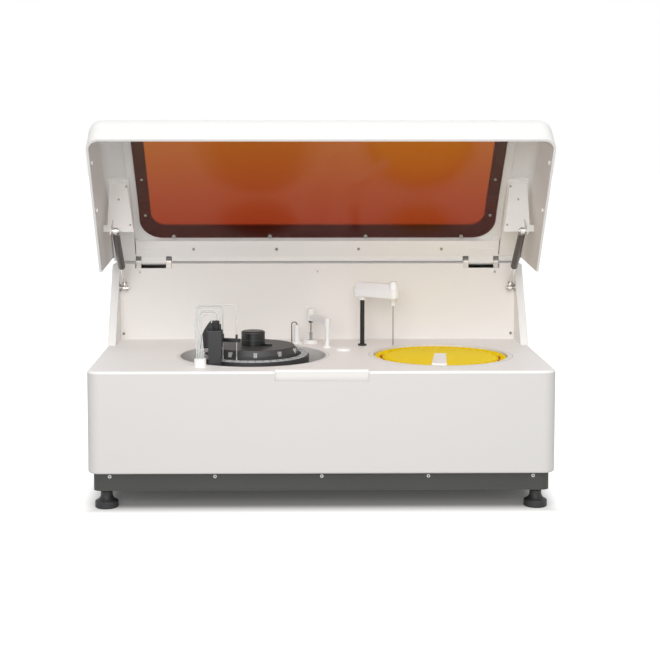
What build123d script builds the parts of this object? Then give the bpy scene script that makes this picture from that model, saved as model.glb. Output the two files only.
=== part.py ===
"""Benchtop chemistry analyzer with a hinged, tinted hood, shown with the hood open.

Frame: millimetres, X to the right, Y to the back, Z up.  The origin is the centre of the
footprint on the bench.  The hood is drawn where it stands open; its planes take the
coordinates that its points have when it is shut.
"""
from build123d import *
import os
from math import asin, atan2, cos, degrees, hypot, radians, sin, sqrt

os.makedirs("parts", exist_ok=True)

# ---------------------------------------------------------------- driving dimensions
body_width = 860.0
body_depth = 620.0
body_height = 190.0
base_height = 33.0
foot_height = 35.5
lid_height = 187.0          # of the shut hood, above the deck
deck_thickness = 4.0
cover_wall = 5.0
corner_radius = 24.0
top_edge_radius = 5.0
bottom_edge_radius = 3.5
running_gap = 0.05          # radial clearance of shafts and pins in their bores
seat_gap = 0.3              # between pieces that move past each other or just clear

front_y = -body_depth / 2
back_y = body_depth / 2
base_z = foot_height
body_z = base_z + base_height
deck_z = body_z + body_height
deck_under_z = deck_z - deck_thickness

# the rear housing: its inner wall, its side panels and its cover
wall_y = front_y + 405.0
wall_sheet = 3.0
wall_drop = 27.5            # of the wall's top, below the crown of the shut hood
wall_height = lid_height - wall_drop
wall_flange = 12.0
panel_thickness = 16.0
panel_skin = 3.0
panel_foot_y = front_y + 316.0
panel_top_y = front_y + 410.0
panel_drop = 29.0
panel_height = lid_height - panel_drop
rear_sheet = 4.0
panel_x = body_width / 2 - panel_thickness
rear_inner_y = back_y - rear_sheet
panel_top_z = deck_z + panel_height

# the hood and its hinge
hinge_y = front_y + 421.0
hinge_drop = 25.0
hinge_z = deck_z + lid_height - hinge_drop
hinge_inset = 86.0
hinge_x = body_width / 2 - hinge_inset
hinge_radius = 6.0
hinge_pin_radius = 3.0
hinge_leaf_width = 52.0
hinge_knuckle_width = 10.5
lid_open_angle = 55.5
lid_overhang = 3.0
lid_wall = 4.5
lid_rim_gap = 1.5
lid_panel_gap = 2.5
lid_corner_radius = 24.0
lid_front_height = 68.0
lid_front_radius = 40.0
lid_slope_run = 85.0
lid_slope_drop = 35.0
lid_slope_height = lid_height - lid_slope_drop
lid_brow_radius = 80.0
lid_crown_run = 293.0
lid_crest_radius = 420.0
lid_rear_y = front_y + 425.0
lid_rear_drop = 22.0
lid_rear_height = lid_height - lid_rear_drop
lid_half = body_width / 2 + lid_overhang
lid_front_y = front_y - lid_overhang
hinge_notch_radius = hinge_radius + 1.8
hinge_notch_half = hinge_leaf_width / 2 + hinge_knuckle_width + 1.5

# the tinted pane and the black gasket behind its border
window_side_skin = 88.0     # of the hood, beside the opening
window_half = lid_half - window_side_skin
window_front_y = front_y + 46.0
window_back_y = front_y + 338.0
window_radius = 30.0
window_border = 24.0
window_back_border = 31.0
pane_thickness = 3.0
gasket_thickness = 1.5
pane_radius = 46.0
pane_half = window_half + window_border
tray_pane_gap = 13.0
tray_inner_x = pane_half + tray_pane_gap

# the bent rail behind the pane, in the coordinates of the shut hood
lid_top_z = deck_z + lid_height
rail_front_drop = 14.0
rail_fold_drop = 22.0
rail_end_drop = 26.5
rail_front = (front_y + 374.0, lid_top_z - rail_front_drop)
rail_fold = (front_y + 409.0, lid_top_z - rail_fold_drop)
rail_end = (front_y + 418.0, lid_top_z - rail_end_drop)
rail_sheet = 2.0

# the gas springs: lower pivot on the side panel, upper stud on the hood (hood shut)
strut_clearance = 12.0      # between a spring's axis and the side panel
strut_x = panel_x - strut_clearance
strut_low_drop = 77.5
strut_high_drop = 131.6
strut_low = (front_y + 397.0, lid_top_z - strut_low_drop)
strut_high_shut = (front_y + 253.0, lid_top_z - strut_high_drop)
strut_tube_radius = 7.2
strut_tube_length = 120.0
strut_rod_radius = 3.0
strut_eye_radius = 6.5
strut_eye_width = 8.0
strut_pin_radius = 3.0

# the two round openings of the deck and what turns in them
disc_y = front_y + 192.0
reaction_x = -130.0
reaction_opening = 148.4
reagent_x = 236.0
reagent_opening = 141.0
tub_gap = 0.6
reaction_tub_wall = 6.0
reaction_tub_depth = 70.0
reagent_tub_wall = 10.0
reagent_tub_depth = 100.0
tub_floor = 4.0
spindle_radius = 8.0
spindle_hole_gap = 2.0
reaction_tub_z = deck_z - reaction_tub_depth - tub_floor
reagent_tub_z = deck_z - reagent_tub_depth - tub_floor
reaction_tub_radius = reaction_opening - tub_gap
reagent_tub_radius = reagent_opening - tub_gap

# where the small mechanisms stand on the deck
post_radius = 4.5
probe_x = 89.4
probe_y = front_y + 314.0
mixer_x = 17.0
mixer_y = front_y + 285.0
post_hole = 7.0
probe_reach = 74.0
probe_angle = -36.4         # of the arm in plan, from +X, at rest
mixer_reach = 72.1
mixer_angle = 116.35
probe_tip_x = probe_x + probe_reach * cos(radians(probe_angle))
probe_tip_y = probe_y + probe_reach * sin(radians(probe_angle))
wash_cup_x = 48.5
wash_cup_y = front_y + 252.0
mixer_cup_x = mixer_x + mixer_reach * cos(radians(mixer_angle))
mixer_cup_y = mixer_y + mixer_reach * sin(radians(mixer_angle))
cup_spigot_radius = 10.0
cup_spigot_gap = 0.3
gland_x = -225.0
gland_y = front_y + 55.0
gland_spigot = 6.0
drain_x = -44.0
drain_y = front_y + 345.0
drain_spigot = 4.0
wash_x = -199.0
wash_y = front_y + 87.0

swing_cos = cos(radians(lid_open_angle))
swing_sin = sin(radians(lid_open_angle))


def opened(y, z):
    """Where a point of the shut hood, given by y and z, stands with the hood open."""
    dy = y - hinge_y
    dz = z - hinge_z
    return (hinge_y + dy * swing_cos + dz * swing_sin, hinge_z - dy * swing_sin + dz * swing_cos)


# sketches in the hood's side plane take (y, z) of the shut hood, those in its plan take (x, y)
lid_side = Plane(origin=(0, *opened(0, 0)), x_dir=(0, swing_cos, -swing_sin), z_dir=(1, 0, 0))
lid_plan = Plane(origin=(0, *opened(0, 0)), x_dir=(1, 0, 0), z_dir=(0, swing_sin, swing_cos))


def shut(shape):
    """The centre of an edge or a face of the hood, in the coordinates of the shut hood."""
    return lid_plan.to_local_coords(shape.center())


def across(x, y, z):
    """A plane square to the X axis whose local axes are Y and Z, at a point."""
    return Plane(origin=(x, y, z), x_dir=(0, 1, 0), z_dir=(1, 0, 0))


def finish(part, name):
    """Label a finished piece and write its file."""
    part.label = name
    export_step(part, f"parts/{name}.step")


def together(*shapes):
    """Several bodies as one piece, each left as a solid of its own."""
    return Compound([solid for shape in shapes for solid in shape.solids()])


# ================================================================ base frame and feet
base_inset = 10.0
base_wall = 3.0
base_floor = 3.0
base_corner = 14.0
base_lip = 16.0
base_width = body_width - 2 * base_inset
base_depth = body_depth - 2 * base_inset
floor_z = base_z + base_floor
foot_inset_x = 22.0
foot_inset_y = 24.0
foot_pad_radius = 21.5
foot_pad_height = 13.0
foot_pad_edge = 1.5
foot_cone_radius = 14.0
foot_cone_height = 17.0
foot_neck_radius = 11.0
foot_neck_low = 24.0
foot_neck_high = 30.0
foot_stud_radius = 5.0
foot_boss_radius = 13.0
foot_boss_height = 14.0
foot_nut_flats = 17.0
foot_x = base_width / 2 - foot_inset_x
foot_y = base_depth / 2 - foot_inset_y
foot_places = {
    "foot_front_left": (-foot_x, -foot_y),
    "foot_front_right": (foot_x, -foot_y),
    "foot_rear_left": (-foot_x, foot_y),
    "foot_rear_right": (foot_x, foot_y),
}
case_screw_inset = 31.0
case_screw_pitch = 193.0
case_screw_end = base_width / 2 - case_screw_inset
case_screw_mid = case_screw_end - case_screw_pitch
case_screw_x = [-case_screw_end, -case_screw_mid, 0.0, case_screw_mid, case_screw_end]
case_screw_drop = 6.0
case_screw_radius = 1.6
screw_head_radius = 3.2
screw_head_height = 1.6

with BuildPart() as base_frame:
    with BuildSketch(Plane.XY.offset(base_z)):
        RectangleRounded(base_width, base_depth, base_corner)
    extrude(amount=base_height)
    with BuildSketch(Plane.XY.offset(floor_z)):
        RectangleRounded(base_width - 2 * base_wall, base_depth - 2 * base_wall, base_corner - base_wall)
    extrude(amount=base_height - base_floor - base_wall, mode=Mode.SUBTRACT)
    with BuildSketch(Plane.XY.offset(body_z - base_wall)):
        RectangleRounded(base_width - 2 * base_lip, base_depth - 2 * base_lip, base_corner)
    extrude(amount=base_wall, mode=Mode.SUBTRACT)
    with BuildSketch(Plane.XY.offset(floor_z)):
        with Locations(*foot_places.values()):
            Circle(foot_boss_radius)
    extrude(amount=foot_boss_height)
    with BuildSketch(Plane.XY.offset(base_z)):
        with Locations(*foot_places.values()):
            Circle(foot_stud_radius + running_gap)
    extrude(amount=base_floor + foot_boss_height, mode=Mode.SUBTRACT)
    with Locations(*[Plane((x, -base_depth / 2, body_z - case_screw_drop), z_dir=(0, -1, 0))
                     for x in case_screw_x]):
        Hole(case_screw_radius, depth=base_wall)
finish(base_frame.part, "base_frame")

for foot_name, (x, y) in foot_places.items():
    with BuildPart() as foot:
        with BuildSketch(Plane((x, y, 0), x_dir=(1, 0, 0), z_dir=(0, -1, 0))):
            with BuildLine():
                Polyline((0, 0), (foot_pad_radius - foot_pad_edge, 0), (foot_pad_radius, foot_pad_edge),
                         (foot_pad_radius, foot_pad_height - foot_pad_edge),
                         (foot_pad_radius - foot_pad_edge, foot_pad_height))
                ThreePointArc((foot_pad_radius - foot_pad_edge, foot_pad_height),
                              (foot_cone_radius, foot_cone_height), (foot_neck_radius, foot_neck_low))
                Polyline((foot_neck_radius, foot_neck_low), (foot_neck_radius, foot_neck_high),
                         (foot_stud_radius, foot_neck_high), (foot_stud_radius, floor_z + foot_boss_height),
                         (0, floor_z + foot_boss_height), (0, 0))
            make_face()
        revolve(axis=Axis((x, y, 0), (0, 0, 1)))
        with BuildSketch(Plane.XY.offset(foot_neck_high)):
            with Locations((x, y)):
                RegularPolygon(foot_nut_flats / 2, 6, major_radius=False)
        extrude(amount=base_z - foot_neck_high - seat_gap)
    finish(foot.part, foot_name)

# ================================================================ body cover with the deck
scoop_width = 172.0
scoop_radius = 18.5
scoop_insert_margin = 10.0
arm_plate_margin = 36.0
cover_depth = body_depth - rear_sheet
cover_mid_y = (front_y + rear_inner_y) / 2
housing_y = wall_y + wall_sheet

with BuildPart() as body_cover:
    with BuildSketch(Plane.XY.offset(body_z)) as cover_outline:
        with Locations((0, cover_mid_y)):
            Rectangle(body_width, cover_depth)
        fillet(cover_outline.vertices().group_by(Axis.Y)[0], corner_radius)
    extrude(amount=body_height)
    fillet(body_cover.faces().sort_by(Axis.Z)[-1].edges().sort_by(Axis.Y)[:-1], top_edge_radius)
    fillet(body_cover.faces().sort_by(Axis.Z)[0].edges().sort_by(Axis.Y)[:-1], bottom_edge_radius)
    with BuildSketch(Plane.XY.offset(body_z)) as cover_cavity:
        with Locations((0, cover_mid_y + cover_wall / 2)):
            Rectangle(body_width - 2 * cover_wall, cover_depth - cover_wall)
        fillet(cover_cavity.vertices().group_by(Axis.Y)[0], corner_radius - cover_wall)
    extrude(amount=body_height - deck_thickness, mode=Mode.SUBTRACT)
    with BuildSketch(Plane.XY.offset(deck_under_z)):
        with Locations((reaction_x, disc_y)):
            Circle(reaction_opening)
        with Locations((reagent_x, disc_y)):
            Circle(reagent_opening)
        with Locations((probe_x, probe_y), (mixer_x, mixer_y)):
            Circle(post_hole)
        with Locations((wash_cup_x, wash_cup_y), (mixer_cup_x, mixer_cup_y)):
            Circle(cup_spigot_radius + cup_spigot_gap)
        with Locations((gland_x, gland_y)):
            Circle(gland_spigot + cup_spigot_gap)
        with Locations((drain_x, drain_y)):
            Circle(drain_spigot + cup_spigot_gap)
        with Locations((0, (housing_y + rear_inner_y) / 2)):
            Rectangle(2 * panel_x, rear_inner_y - housing_y)
    extrude(amount=deck_thickness, mode=Mode.SUBTRACT)
    # the finger scoop: a quarter-round trough with its own wall behind it
    with BuildSketch(Plane.YZ.offset(-scoop_width / 2 - cover_wall)):
        with Locations((front_y, deck_z)):
            Circle(scoop_radius + cover_wall)
        with Locations((front_y + body_depth / 2, deck_z - body_depth / 2)):
            Rectangle(body_depth, body_depth, mode=Mode.INTERSECT)
    extrude(amount=scoop_width + 2 * cover_wall)
    with BuildSketch(Plane.YZ.offset(-scoop_width / 2)):
        with Locations((front_y, deck_z)):
            Circle(scoop_radius)
    extrude(amount=scoop_width, mode=Mode.SUBTRACT)

# the plate under the arms and the insert with the scoop are bodies of their own, flush with the cover
arm_plate_left = drain_x - arm_plate_margin
arm_plate_right = probe_x + arm_plate_margin
arm_plate_front = wash_cup_y - arm_plate_margin
arm_plate_rear = housing_y + arm_plate_margin
scoop_insert_width = scoop_width + 2 * cover_wall + 2 * scoop_insert_margin
scoop_insert_reach = scoop_radius + cover_wall + scoop_insert_margin
with BuildPart() as arm_plate_room:
    with BuildSketch(Plane.XY.offset(deck_under_z - deck_thickness)):
        with Locations(((arm_plate_left + arm_plate_right) / 2, (arm_plate_front + arm_plate_rear) / 2)):
            Rectangle(arm_plate_right - arm_plate_left, arm_plate_rear - arm_plate_front)
    extrude(amount=3 * deck_thickness)
with BuildPart() as scoop_room:
    with BuildSketch(Plane.XY.offset(deck_z - scoop_insert_reach)):
        with Locations((0, front_y)):
            Rectangle(scoop_insert_width, 2 * scoop_insert_reach)
    extrude(amount=2 * scoop_insert_reach)
with BuildPart() as arm_plate:
    add(body_cover.part)
    add(arm_plate_room.part, mode=Mode.INTERSECT)
with BuildPart() as scoop_insert:
    add(body_cover.part)
    add(scoop_room.part, mode=Mode.INTERSECT)
with BuildPart() as cover_shell:
    add(body_cover.part)
    add(arm_plate_room.part, mode=Mode.SUBTRACT)
    add(scoop_room.part, mode=Mode.SUBTRACT)
finish(together(cover_shell.part, arm_plate.part, scoop_insert.part), "body_cover")

# ================================================================ rear housing
housing_door = 20.0         # margin of the side panels' open inner side
side_panels = []
for sign in (-1, 1):
    with BuildPart() as side_panel:
        with BuildSketch(Plane.YZ.offset(sign * panel_x)) as panel_outline:
            with BuildLine():
                Polyline((panel_foot_y, deck_z), (panel_top_y, panel_top_z), (rear_inner_y, panel_top_z),
                         (rear_inner_y, deck_z), close=True)
            make_face()
        extrude(amount=sign * panel_thickness)
        outer_edges = side_panel.faces().sort_by(Axis.X)[-1 if sign > 0 else 0].edges()
        fillet(outer_edges.filter_by(lambda edge: edge.center().Z > deck_z + 1
                                     and edge.center().Y < rear_inner_y - 1), panel_skin - 0.5)
        # hollow between the skins, and open towards the housing behind the inner wall
        with BuildSketch(Plane.YZ.offset(sign * (panel_x + panel_skin))):
            offset(panel_outline.sketch.face(), amount=-panel_skin, kind=Kind.INTERSECTION)
        extrude(amount=sign * (panel_thickness - 2 * panel_skin), mode=Mode.SUBTRACT)
        with BuildSketch(Plane.YZ.offset(sign * panel_x)):
            with Locations(((housing_y + rear_inner_y) / 2, deck_z + panel_height / 2)):
                Rectangle(rear_inner_y - housing_y - 2 * housing_door, panel_height - 2 * housing_door)
        extrude(amount=sign * panel_skin, mode=Mode.SUBTRACT)
    side_panels.append(side_panel.part)
finish(together(*side_panels), "side_panels")

hinge_notch_z = hinge_z - 12.0
notch_z = (hinge_notch_z + deck_z + wall_height) / 2
with BuildPart() as rear_wall:
    with BuildSketch(Plane.XZ.offset(-wall_y)):
        with Locations((0, deck_z + wall_height / 2)):
            Rectangle(2 * panel_x, wall_height)
    extrude(amount=-wall_sheet)
    with BuildSketch(Plane.XY.offset(deck_z + wall_height)):
        with Locations((0, wall_y + wall_flange / 2)):
            Rectangle(2 * panel_x, wall_flange)
    extrude(amount=-wall_sheet)
    with BuildSketch(Plane.XZ.offset(-wall_y)):
        with Locations((-hinge_x, notch_z), (hinge_x, notch_z)):
            Rectangle(2 * hinge_notch_half, deck_z + wall_height - hinge_notch_z)
    extrude(amount=-wall_flange, mode=Mode.SUBTRACT)
finish(rear_wall.part, "rear_wall")

vent_width = 60.0
vent_height = 5.0
vent_rows = 8
vent_columns = 3
vent_rise = 100.0
vent_z = body_z + vent_rise
vent_pitch_x = 72.0
vent_pitch_z = 11.0
inlet_inset = 100.0
inlet_x = body_width / 2 - inlet_inset
inlet_rise = 45.0
inlet_z = body_z + inlet_rise
inlet_width = 30.0
inlet_height = 22.0
switch_spacing = 55.0
switch_x = inlet_x - switch_spacing
switch_width = 22.0
switch_height = 28.0
port_radius = 6.0
port_rise = 42.0
port_z = body_z + port_rise
port_inset = 80.0
port_pitch = 32.0
port_count = 4
port_x = [port_inset - body_width / 2 + port_pitch * number for number in range(port_count)]
vent_spacing = 94.0
vent_x = port_x[-1] + vent_spacing
hinge_well = 22.0
rear_corner = 8.0
with BuildPart() as rear_cover:
    with BuildSketch(Plane.XZ.offset(-back_y)) as back_outline:
        with Locations((0, (body_z + panel_top_z) / 2)):
            Rectangle(body_width, panel_top_z - body_z)
        fillet(back_outline.vertices().group_by(Axis.Y)[-1], rear_corner)
    extrude(amount=rear_sheet)
    with BuildSketch(Plane.XY.offset(panel_top_z)):
        with Locations((0, (wall_y + wall_flange + seat_gap + rear_inner_y) / 2)):
            Rectangle(2 * panel_x, rear_inner_y - wall_y - wall_flange - seat_gap)
        with Locations((-hinge_x, hinge_y), (hinge_x, hinge_y)):
            Rectangle(2 * hinge_notch_half, hinge_well, mode=Mode.SUBTRACT)
    extrude(amount=-rear_sheet)
    with BuildSketch(Plane.XZ.offset(-back_y)):
        with Locations((vent_x, vent_z)):
            with GridLocations(vent_pitch_x, vent_pitch_z, vent_columns, vent_rows):
                SlotOverall(vent_width, vent_height)
        with Locations((inlet_x, inlet_z)):
            Rectangle(inlet_width, inlet_height)
        with Locations((switch_x, inlet_z)):
            Rectangle(switch_width, switch_height)
        with Locations(*[(x, port_z) for x in port_x]):
            Circle(port_radius)
    extrude(amount=rear_sheet, mode=Mode.SUBTRACT)
finish(rear_cover.part, "rear_cover")

wall_screw_spacing = 28.0   # from a hinge's middle
wall_screw_drop = 17.5
wall_foot_inset = 7.0
wall_foot_height = 12.0
wall_screw_x = hinge_x + wall_screw_spacing
wall_foot_x = panel_x - wall_foot_inset
wall_screw_places = [(x, wall_height - wall_screw_drop) for x in (-wall_screw_x, 0.0, wall_screw_x)]
wall_screw_places += [(x, wall_foot_height) for x in (-wall_foot_x, wall_foot_x)]
with BuildPart() as case_screws:
    for x in case_screw_x:
        with BuildSketch(Plane((x, -base_depth / 2, body_z - case_screw_drop), z_dir=(0, -1, 0))):
            Circle(screw_head_radius)
        extrude(amount=screw_head_height)
        with BuildSketch(Plane((x, -base_depth / 2, body_z - case_screw_drop), z_dir=(0, 1, 0))):
            Circle(case_screw_radius)
        extrude(amount=2 * base_wall)
    for x, height in wall_screw_places:
        with BuildSketch(Plane((x, wall_y, deck_z + height), z_dir=(0, -1, 0))):
            Circle(screw_head_radius)
        extrude(amount=screw_head_height)
finish(case_screws.part, "case_screws")

# ================================================================ hinges
bracket_sheet = 4.0
bracket_gap = 3.0           # between the brackets' arms and the inner wall
bracket_top_z = hinge_z - 18.0
bracket_height = 46.0
bracket_plate_width = 2 * hinge_notch_half - 2.0
bracket_web = 6.0
bracket_back_y = housing_y + bracket_gap
knuckle_offset = hinge_leaf_width / 2 + seat_gap
with BuildPart() as hinge_brackets:
    for sign in (-1, 1):
        for end in (-1, 1):
            with BuildSketch(Plane.YZ.offset(sign * hinge_x + end * knuckle_offset)):
                with Locations((hinge_y, hinge_z)):
                    Circle(hinge_radius)
                with BuildLine():
                    Polyline((hinge_y - hinge_radius + 0.6, hinge_z), (bracket_back_y, hinge_z - 12),
                             (bracket_back_y, bracket_top_z - bracket_web),
                             (bracket_back_y + bracket_sheet, bracket_top_z - bracket_web),
                             (hinge_y, hinge_z - hinge_radius + 0.6), close=True)
                make_face()
                with Locations((hinge_y, hinge_z)):
                    Circle(hinge_pin_radius + running_gap, mode=Mode.SUBTRACT)
            extrude(amount=end * hinge_knuckle_width)
        with BuildSketch(Plane.XZ.offset(-housing_y)):
            with Locations((sign * hinge_x, bracket_top_z - bracket_height / 2)):
                Rectangle(bracket_plate_width, bracket_height)
        extrude(amount=-bracket_sheet)
        with BuildSketch(Plane.XZ.offset(-housing_y)):
            with Locations((sign * hinge_x, bracket_top_z - bracket_web / 2)):
                Rectangle(bracket_plate_width, bracket_web)
        extrude(amount=-bracket_sheet - bracket_gap)

hinge_pin_length = 2 * (knuckle_offset + hinge_knuckle_width)
with BuildPart() as hinge_pins:
    for sign in (-1, 1):
        with BuildSketch(across(sign * hinge_x - hinge_pin_length / 2, hinge_y, hinge_z)):
            Circle(hinge_pin_radius)
        extrude(amount=hinge_pin_length)
finish(together(hinge_brackets.part, hinge_pins.part), "hinge_brackets")

# ================================================================ hood shell
slope_angle = atan2(lid_slope_height - lid_front_height, lid_slope_run)
crown_angle = atan2(lid_height - lid_slope_height, lid_crown_run - lid_slope_run)
lid_mid_y = (lid_front_y + lid_rear_y) / 2
crown_mid_z = deck_z + (lid_height + lid_slope_height) / 2
lid_foot_z = deck_z - 30.0      # below the rim, where the cutting solids end
rail_gap = 1.5              # between the rail and the trays
rail_half = tray_inner_x - rail_gap
least_corner = 5.0


def hood_profile(inset, *back_points):
    """The hood's side outline with its corners rounded, moved inwards and closed through back_points."""
    brow_turn = (slope_angle + crown_angle) / 2
    brow_reach = inset / cos((slope_angle - crown_angle) / 2)
    front_z = deck_z + lid_front_height + inset * (1 - sin(slope_angle)) / cos(slope_angle)
    corners = [
        (lid_front_y + inset, front_z),
        (lid_front_y + lid_slope_run + brow_reach * sin(brow_turn),
         deck_z + lid_slope_height - brow_reach * cos(brow_turn)),
        (lid_front_y + lid_crown_run + inset * sin(crown_angle) / (1 + cos(crown_angle)),
         deck_z + lid_height - inset),
    ]
    radii = (lid_front_radius, lid_brow_radius, lid_crest_radius)
    with BuildSketch() as profile:
        with BuildLine():
            Polyline(*corners, (lid_rear_y - inset, deck_z + lid_height - inset), *back_points, close=True)
        make_face()
        for corner, radius in zip(corners, radii):
            fillet(profile.vertices().sort_by_distance(corner)[0], max(radius - inset, least_corner))
    return profile.sketch


def hood_block(inset, half, *back_points):
    """A solid of the hood's outline between two sides, with its upper and front side edges rounded."""
    with BuildPart() as block:
        extrude(lid_side.offset(-half).from_local_coords(hood_profile(inset, *back_points)), amount=2 * half)
        fillet(block.edges().filter_by(
            lambda edge: abs(abs(shut(edge).X) - half) < 0.01
            and (shut(edge).Y < lid_mid_y or shut(edge).Z > crown_mid_z)
            and shut(edge).Z > back_points[-1][1] + 1), lid_corner_radius - inset)
    return block.part


# the slanted rear edge of the hood's sides runs beside the side panels
rim_rise = panel_height / (panel_top_y - panel_foot_y)
rim_shift = lid_panel_gap * sqrt(1 + 1 / rim_rise**2)
rim_corner_y = panel_foot_y - rim_shift + lid_rim_gap / rim_rise
rim_back_y = panel_foot_y - rim_shift + lid_rear_height / rim_rise
bumper_radius = 4.0
bumper_height = 3.0
bumper_front = 62.0
bumper_rear = 174.0
bumper_rise = 19.0
bumper_places = [(front_y + run, deck_z + bumper_rise) for run in (bumper_front, bumper_rear)]
rib_inset = 6.0
rib_x = tray_inner_x + rib_inset
rib_width = 2.0
rib_depth = 5.0
rib_front = 100.0
rib_front_y = front_y + rib_front
tray_front = 205.0
tray_front_y = front_y + tray_front

with BuildPart() as lid_shell:
    add(hood_block(0, lid_half, (lid_rear_y, deck_z + lid_rear_height),
                   (rim_back_y, deck_z + lid_rear_height), (rim_corner_y, deck_z + lid_rim_gap),
                   (lid_front_y, deck_z + lid_rim_gap)))
    add(hood_block(lid_wall, lid_half - lid_wall, (lid_rear_y - lid_wall, lid_foot_z),
                   (lid_front_y + lid_wall, lid_foot_z)), mode=Mode.SUBTRACT)
    with BuildSketch(lid_plan.offset(deck_z)):
        with Locations((0, (window_front_y + window_back_y) / 2)):
            RectangleRounded(2 * window_half, window_back_y - window_front_y, window_radius)
    extrude(amount=lid_height, mode=Mode.SUBTRACT)
    for sign in (-1, 1):
        with BuildSketch(across(sign * hinge_x - hinge_notch_half, hinge_y, hinge_z)):
            Circle(hinge_notch_radius)
        extrude(amount=2 * hinge_notch_half, mode=Mode.SUBTRACT)
        with BuildSketch(lid_side.offset(sign * (lid_half - lid_wall))):
            with Locations(*bumper_places):
                Circle(bumper_radius)
        extrude(amount=-sign * bumper_height)
        # a rib under the skin, in front of the inner tray
        with BuildSketch(lid_side.offset(sign * rib_x - rib_width / 2)):
            add(hood_profile(lid_wall, (lid_rear_y, lid_foot_z), (lid_front_y + lid_wall, lid_foot_z)))
            add(hood_profile(lid_wall + rib_depth, (lid_rear_y, lid_foot_z), (lid_front_y, lid_foot_z)),
                mode=Mode.SUBTRACT)
            with Locations(((rib_front_y + tray_front_y) / 2, deck_z + lid_height / 2)):
                Rectangle(tray_front_y - rib_front_y, lid_height, mode=Mode.INTERSECT)
        extrude(amount=rib_width)
finish(lid_shell.part, "lid_shell")


# ================================================================ window
pane_front_y = window_front_y - window_border
pane_back_y = window_back_y + window_back_border
pane_mid_y = (pane_front_y + pane_back_y) / 2
gasket_inset = lid_wall
pane_inset = gasket_inset + gasket_thickness
pane_under = pane_inset + pane_thickness
screw_seat = 0.05           # fasteners stand this far off a curved face


def window_layer(inset, thickness):
    """A sheet under the hood's skin, with the outline of the pane."""
    half = pane_half
    back_y = lid_rear_y - pane_under
    with BuildPart() as layer:
        extrude(lid_side.offset(-half).from_local_coords(
            hood_profile(inset, (back_y, lid_foot_z), (lid_front_y + inset, lid_foot_z))), amount=2 * half)
        extrude(lid_side.offset(-half).from_local_coords(
            hood_profile(inset + thickness, (back_y, lid_foot_z),
                         (lid_front_y + inset + thickness, lid_foot_z))),
            amount=2 * half, mode=Mode.SUBTRACT)
        with BuildSketch(lid_plan.offset(deck_z)):
            with Locations((0, pane_mid_y)):
                RectangleRounded(2 * half, pane_back_y - pane_front_y, pane_radius)
        extrude(amount=lid_height, mode=Mode.INTERSECT)
    return layer.part


with BuildPart() as window_gasket:
    add(window_layer(gasket_inset, gasket_thickness))
    with BuildSketch(lid_plan.offset(deck_z)):
        with Locations((0, (window_front_y + window_back_y) / 2)):
            RectangleRounded(2 * window_half, window_back_y - window_front_y, window_radius)
    extrude(amount=lid_height, mode=Mode.SUBTRACT)
finish(window_gasket.part, "window_gasket")

with BuildPart() as lid_window:
    add(window_layer(pane_inset, pane_thickness))
finish(lid_window.part, "lid_window")

crest_y = lid_front_y + lid_crown_run + lid_crest_radius * sin(crown_angle) / (1 + cos(crown_angle))


def under_pane(x, y):
    """The plane on the pane's inner face at x and y of the shut hood, facing into the hood."""
    lean = asin(min(max((crest_y - y) / lid_crest_radius, 0), sin(crown_angle)))
    drop = lid_crest_radius * (1 - cos(lean))
    if lean >= crown_angle:
        bend_y = crest_y - lid_crest_radius * sin(crown_angle)
        drop += (bend_y - y) * sin(crown_angle) / cos(crown_angle)
    depth = pane_under + screw_seat
    y_in = y + depth * sin(lean)
    z_in = deck_z + lid_height - drop - depth * cos(lean)
    inward = lid_plan.from_local_coords(Vector(0, sin(lean), -cos(lean))) - lid_plan.origin
    return Plane(origin=lid_plan.from_local_coords(Vector(x, y_in, z_in)), x_dir=(1, 0, 0), z_dir=inward)


nut_inset = 45.0
nut_reach = window_half - nut_inset
nut_x = [-nut_reach, -nut_reach / 3, nut_reach / 3, nut_reach]
nut_y = pane_back_y - 5.5
nut_radius = 4.2
nut_height = 5.0
side_screw_inset = 11.0
side_screw_x = window_half + side_screw_inset
side_screw_y = [front_y + 205.0, front_y + 308.0]
side_screw_radius = 2.8
side_screw_height = 2.0
with BuildPart() as window_nuts:
    for x in nut_x:
        with BuildSketch(under_pane(x, nut_y)):
            Circle(nut_radius)
        extrude(amount=nut_height)
    fillet(window_nuts.edges().filter_by(GeomType.CIRCLE).filter_by(
        lambda edge: shut(edge).Z < deck_z + lid_height - pane_under - 1), nut_radius / 2)
    for y in side_screw_y:
        for sign in (-1, 1):
            with BuildSketch(under_pane(sign * side_screw_x, y)):
                Circle(side_screw_radius)
            extrude(amount=side_screw_height)

# ================================================================ rail, trays and brackets in the hood
skin_under_z = deck_z + lid_height - lid_wall
rail_slope = (rail_fold[1] - rail_front[1]) / (rail_fold[0] - rail_front[0])
tray_side_gap = 1.5
tray_outer_x = lid_half - lid_wall - tray_side_gap
tray_back_y = front_y + 404.0
tray_drop = 25.0
tray_z = lid_top_z - tray_drop
tray_sheet = 2.0
strip_half = tray_outer_x
strip_front_y = tray_back_y + 1.0
leaf_front_y = front_y + 391.0
leaf_sheet = 2.2
rail_notch = hypot(rail_fold[0] - hinge_y, rail_fold[1] - hinge_z) + 0.4


def rail_z(y):
    """Height of the rail's visible face in front of its fold, with the hood shut."""
    return rail_front[1] + rail_slope * (y - rail_front[0])


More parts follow.
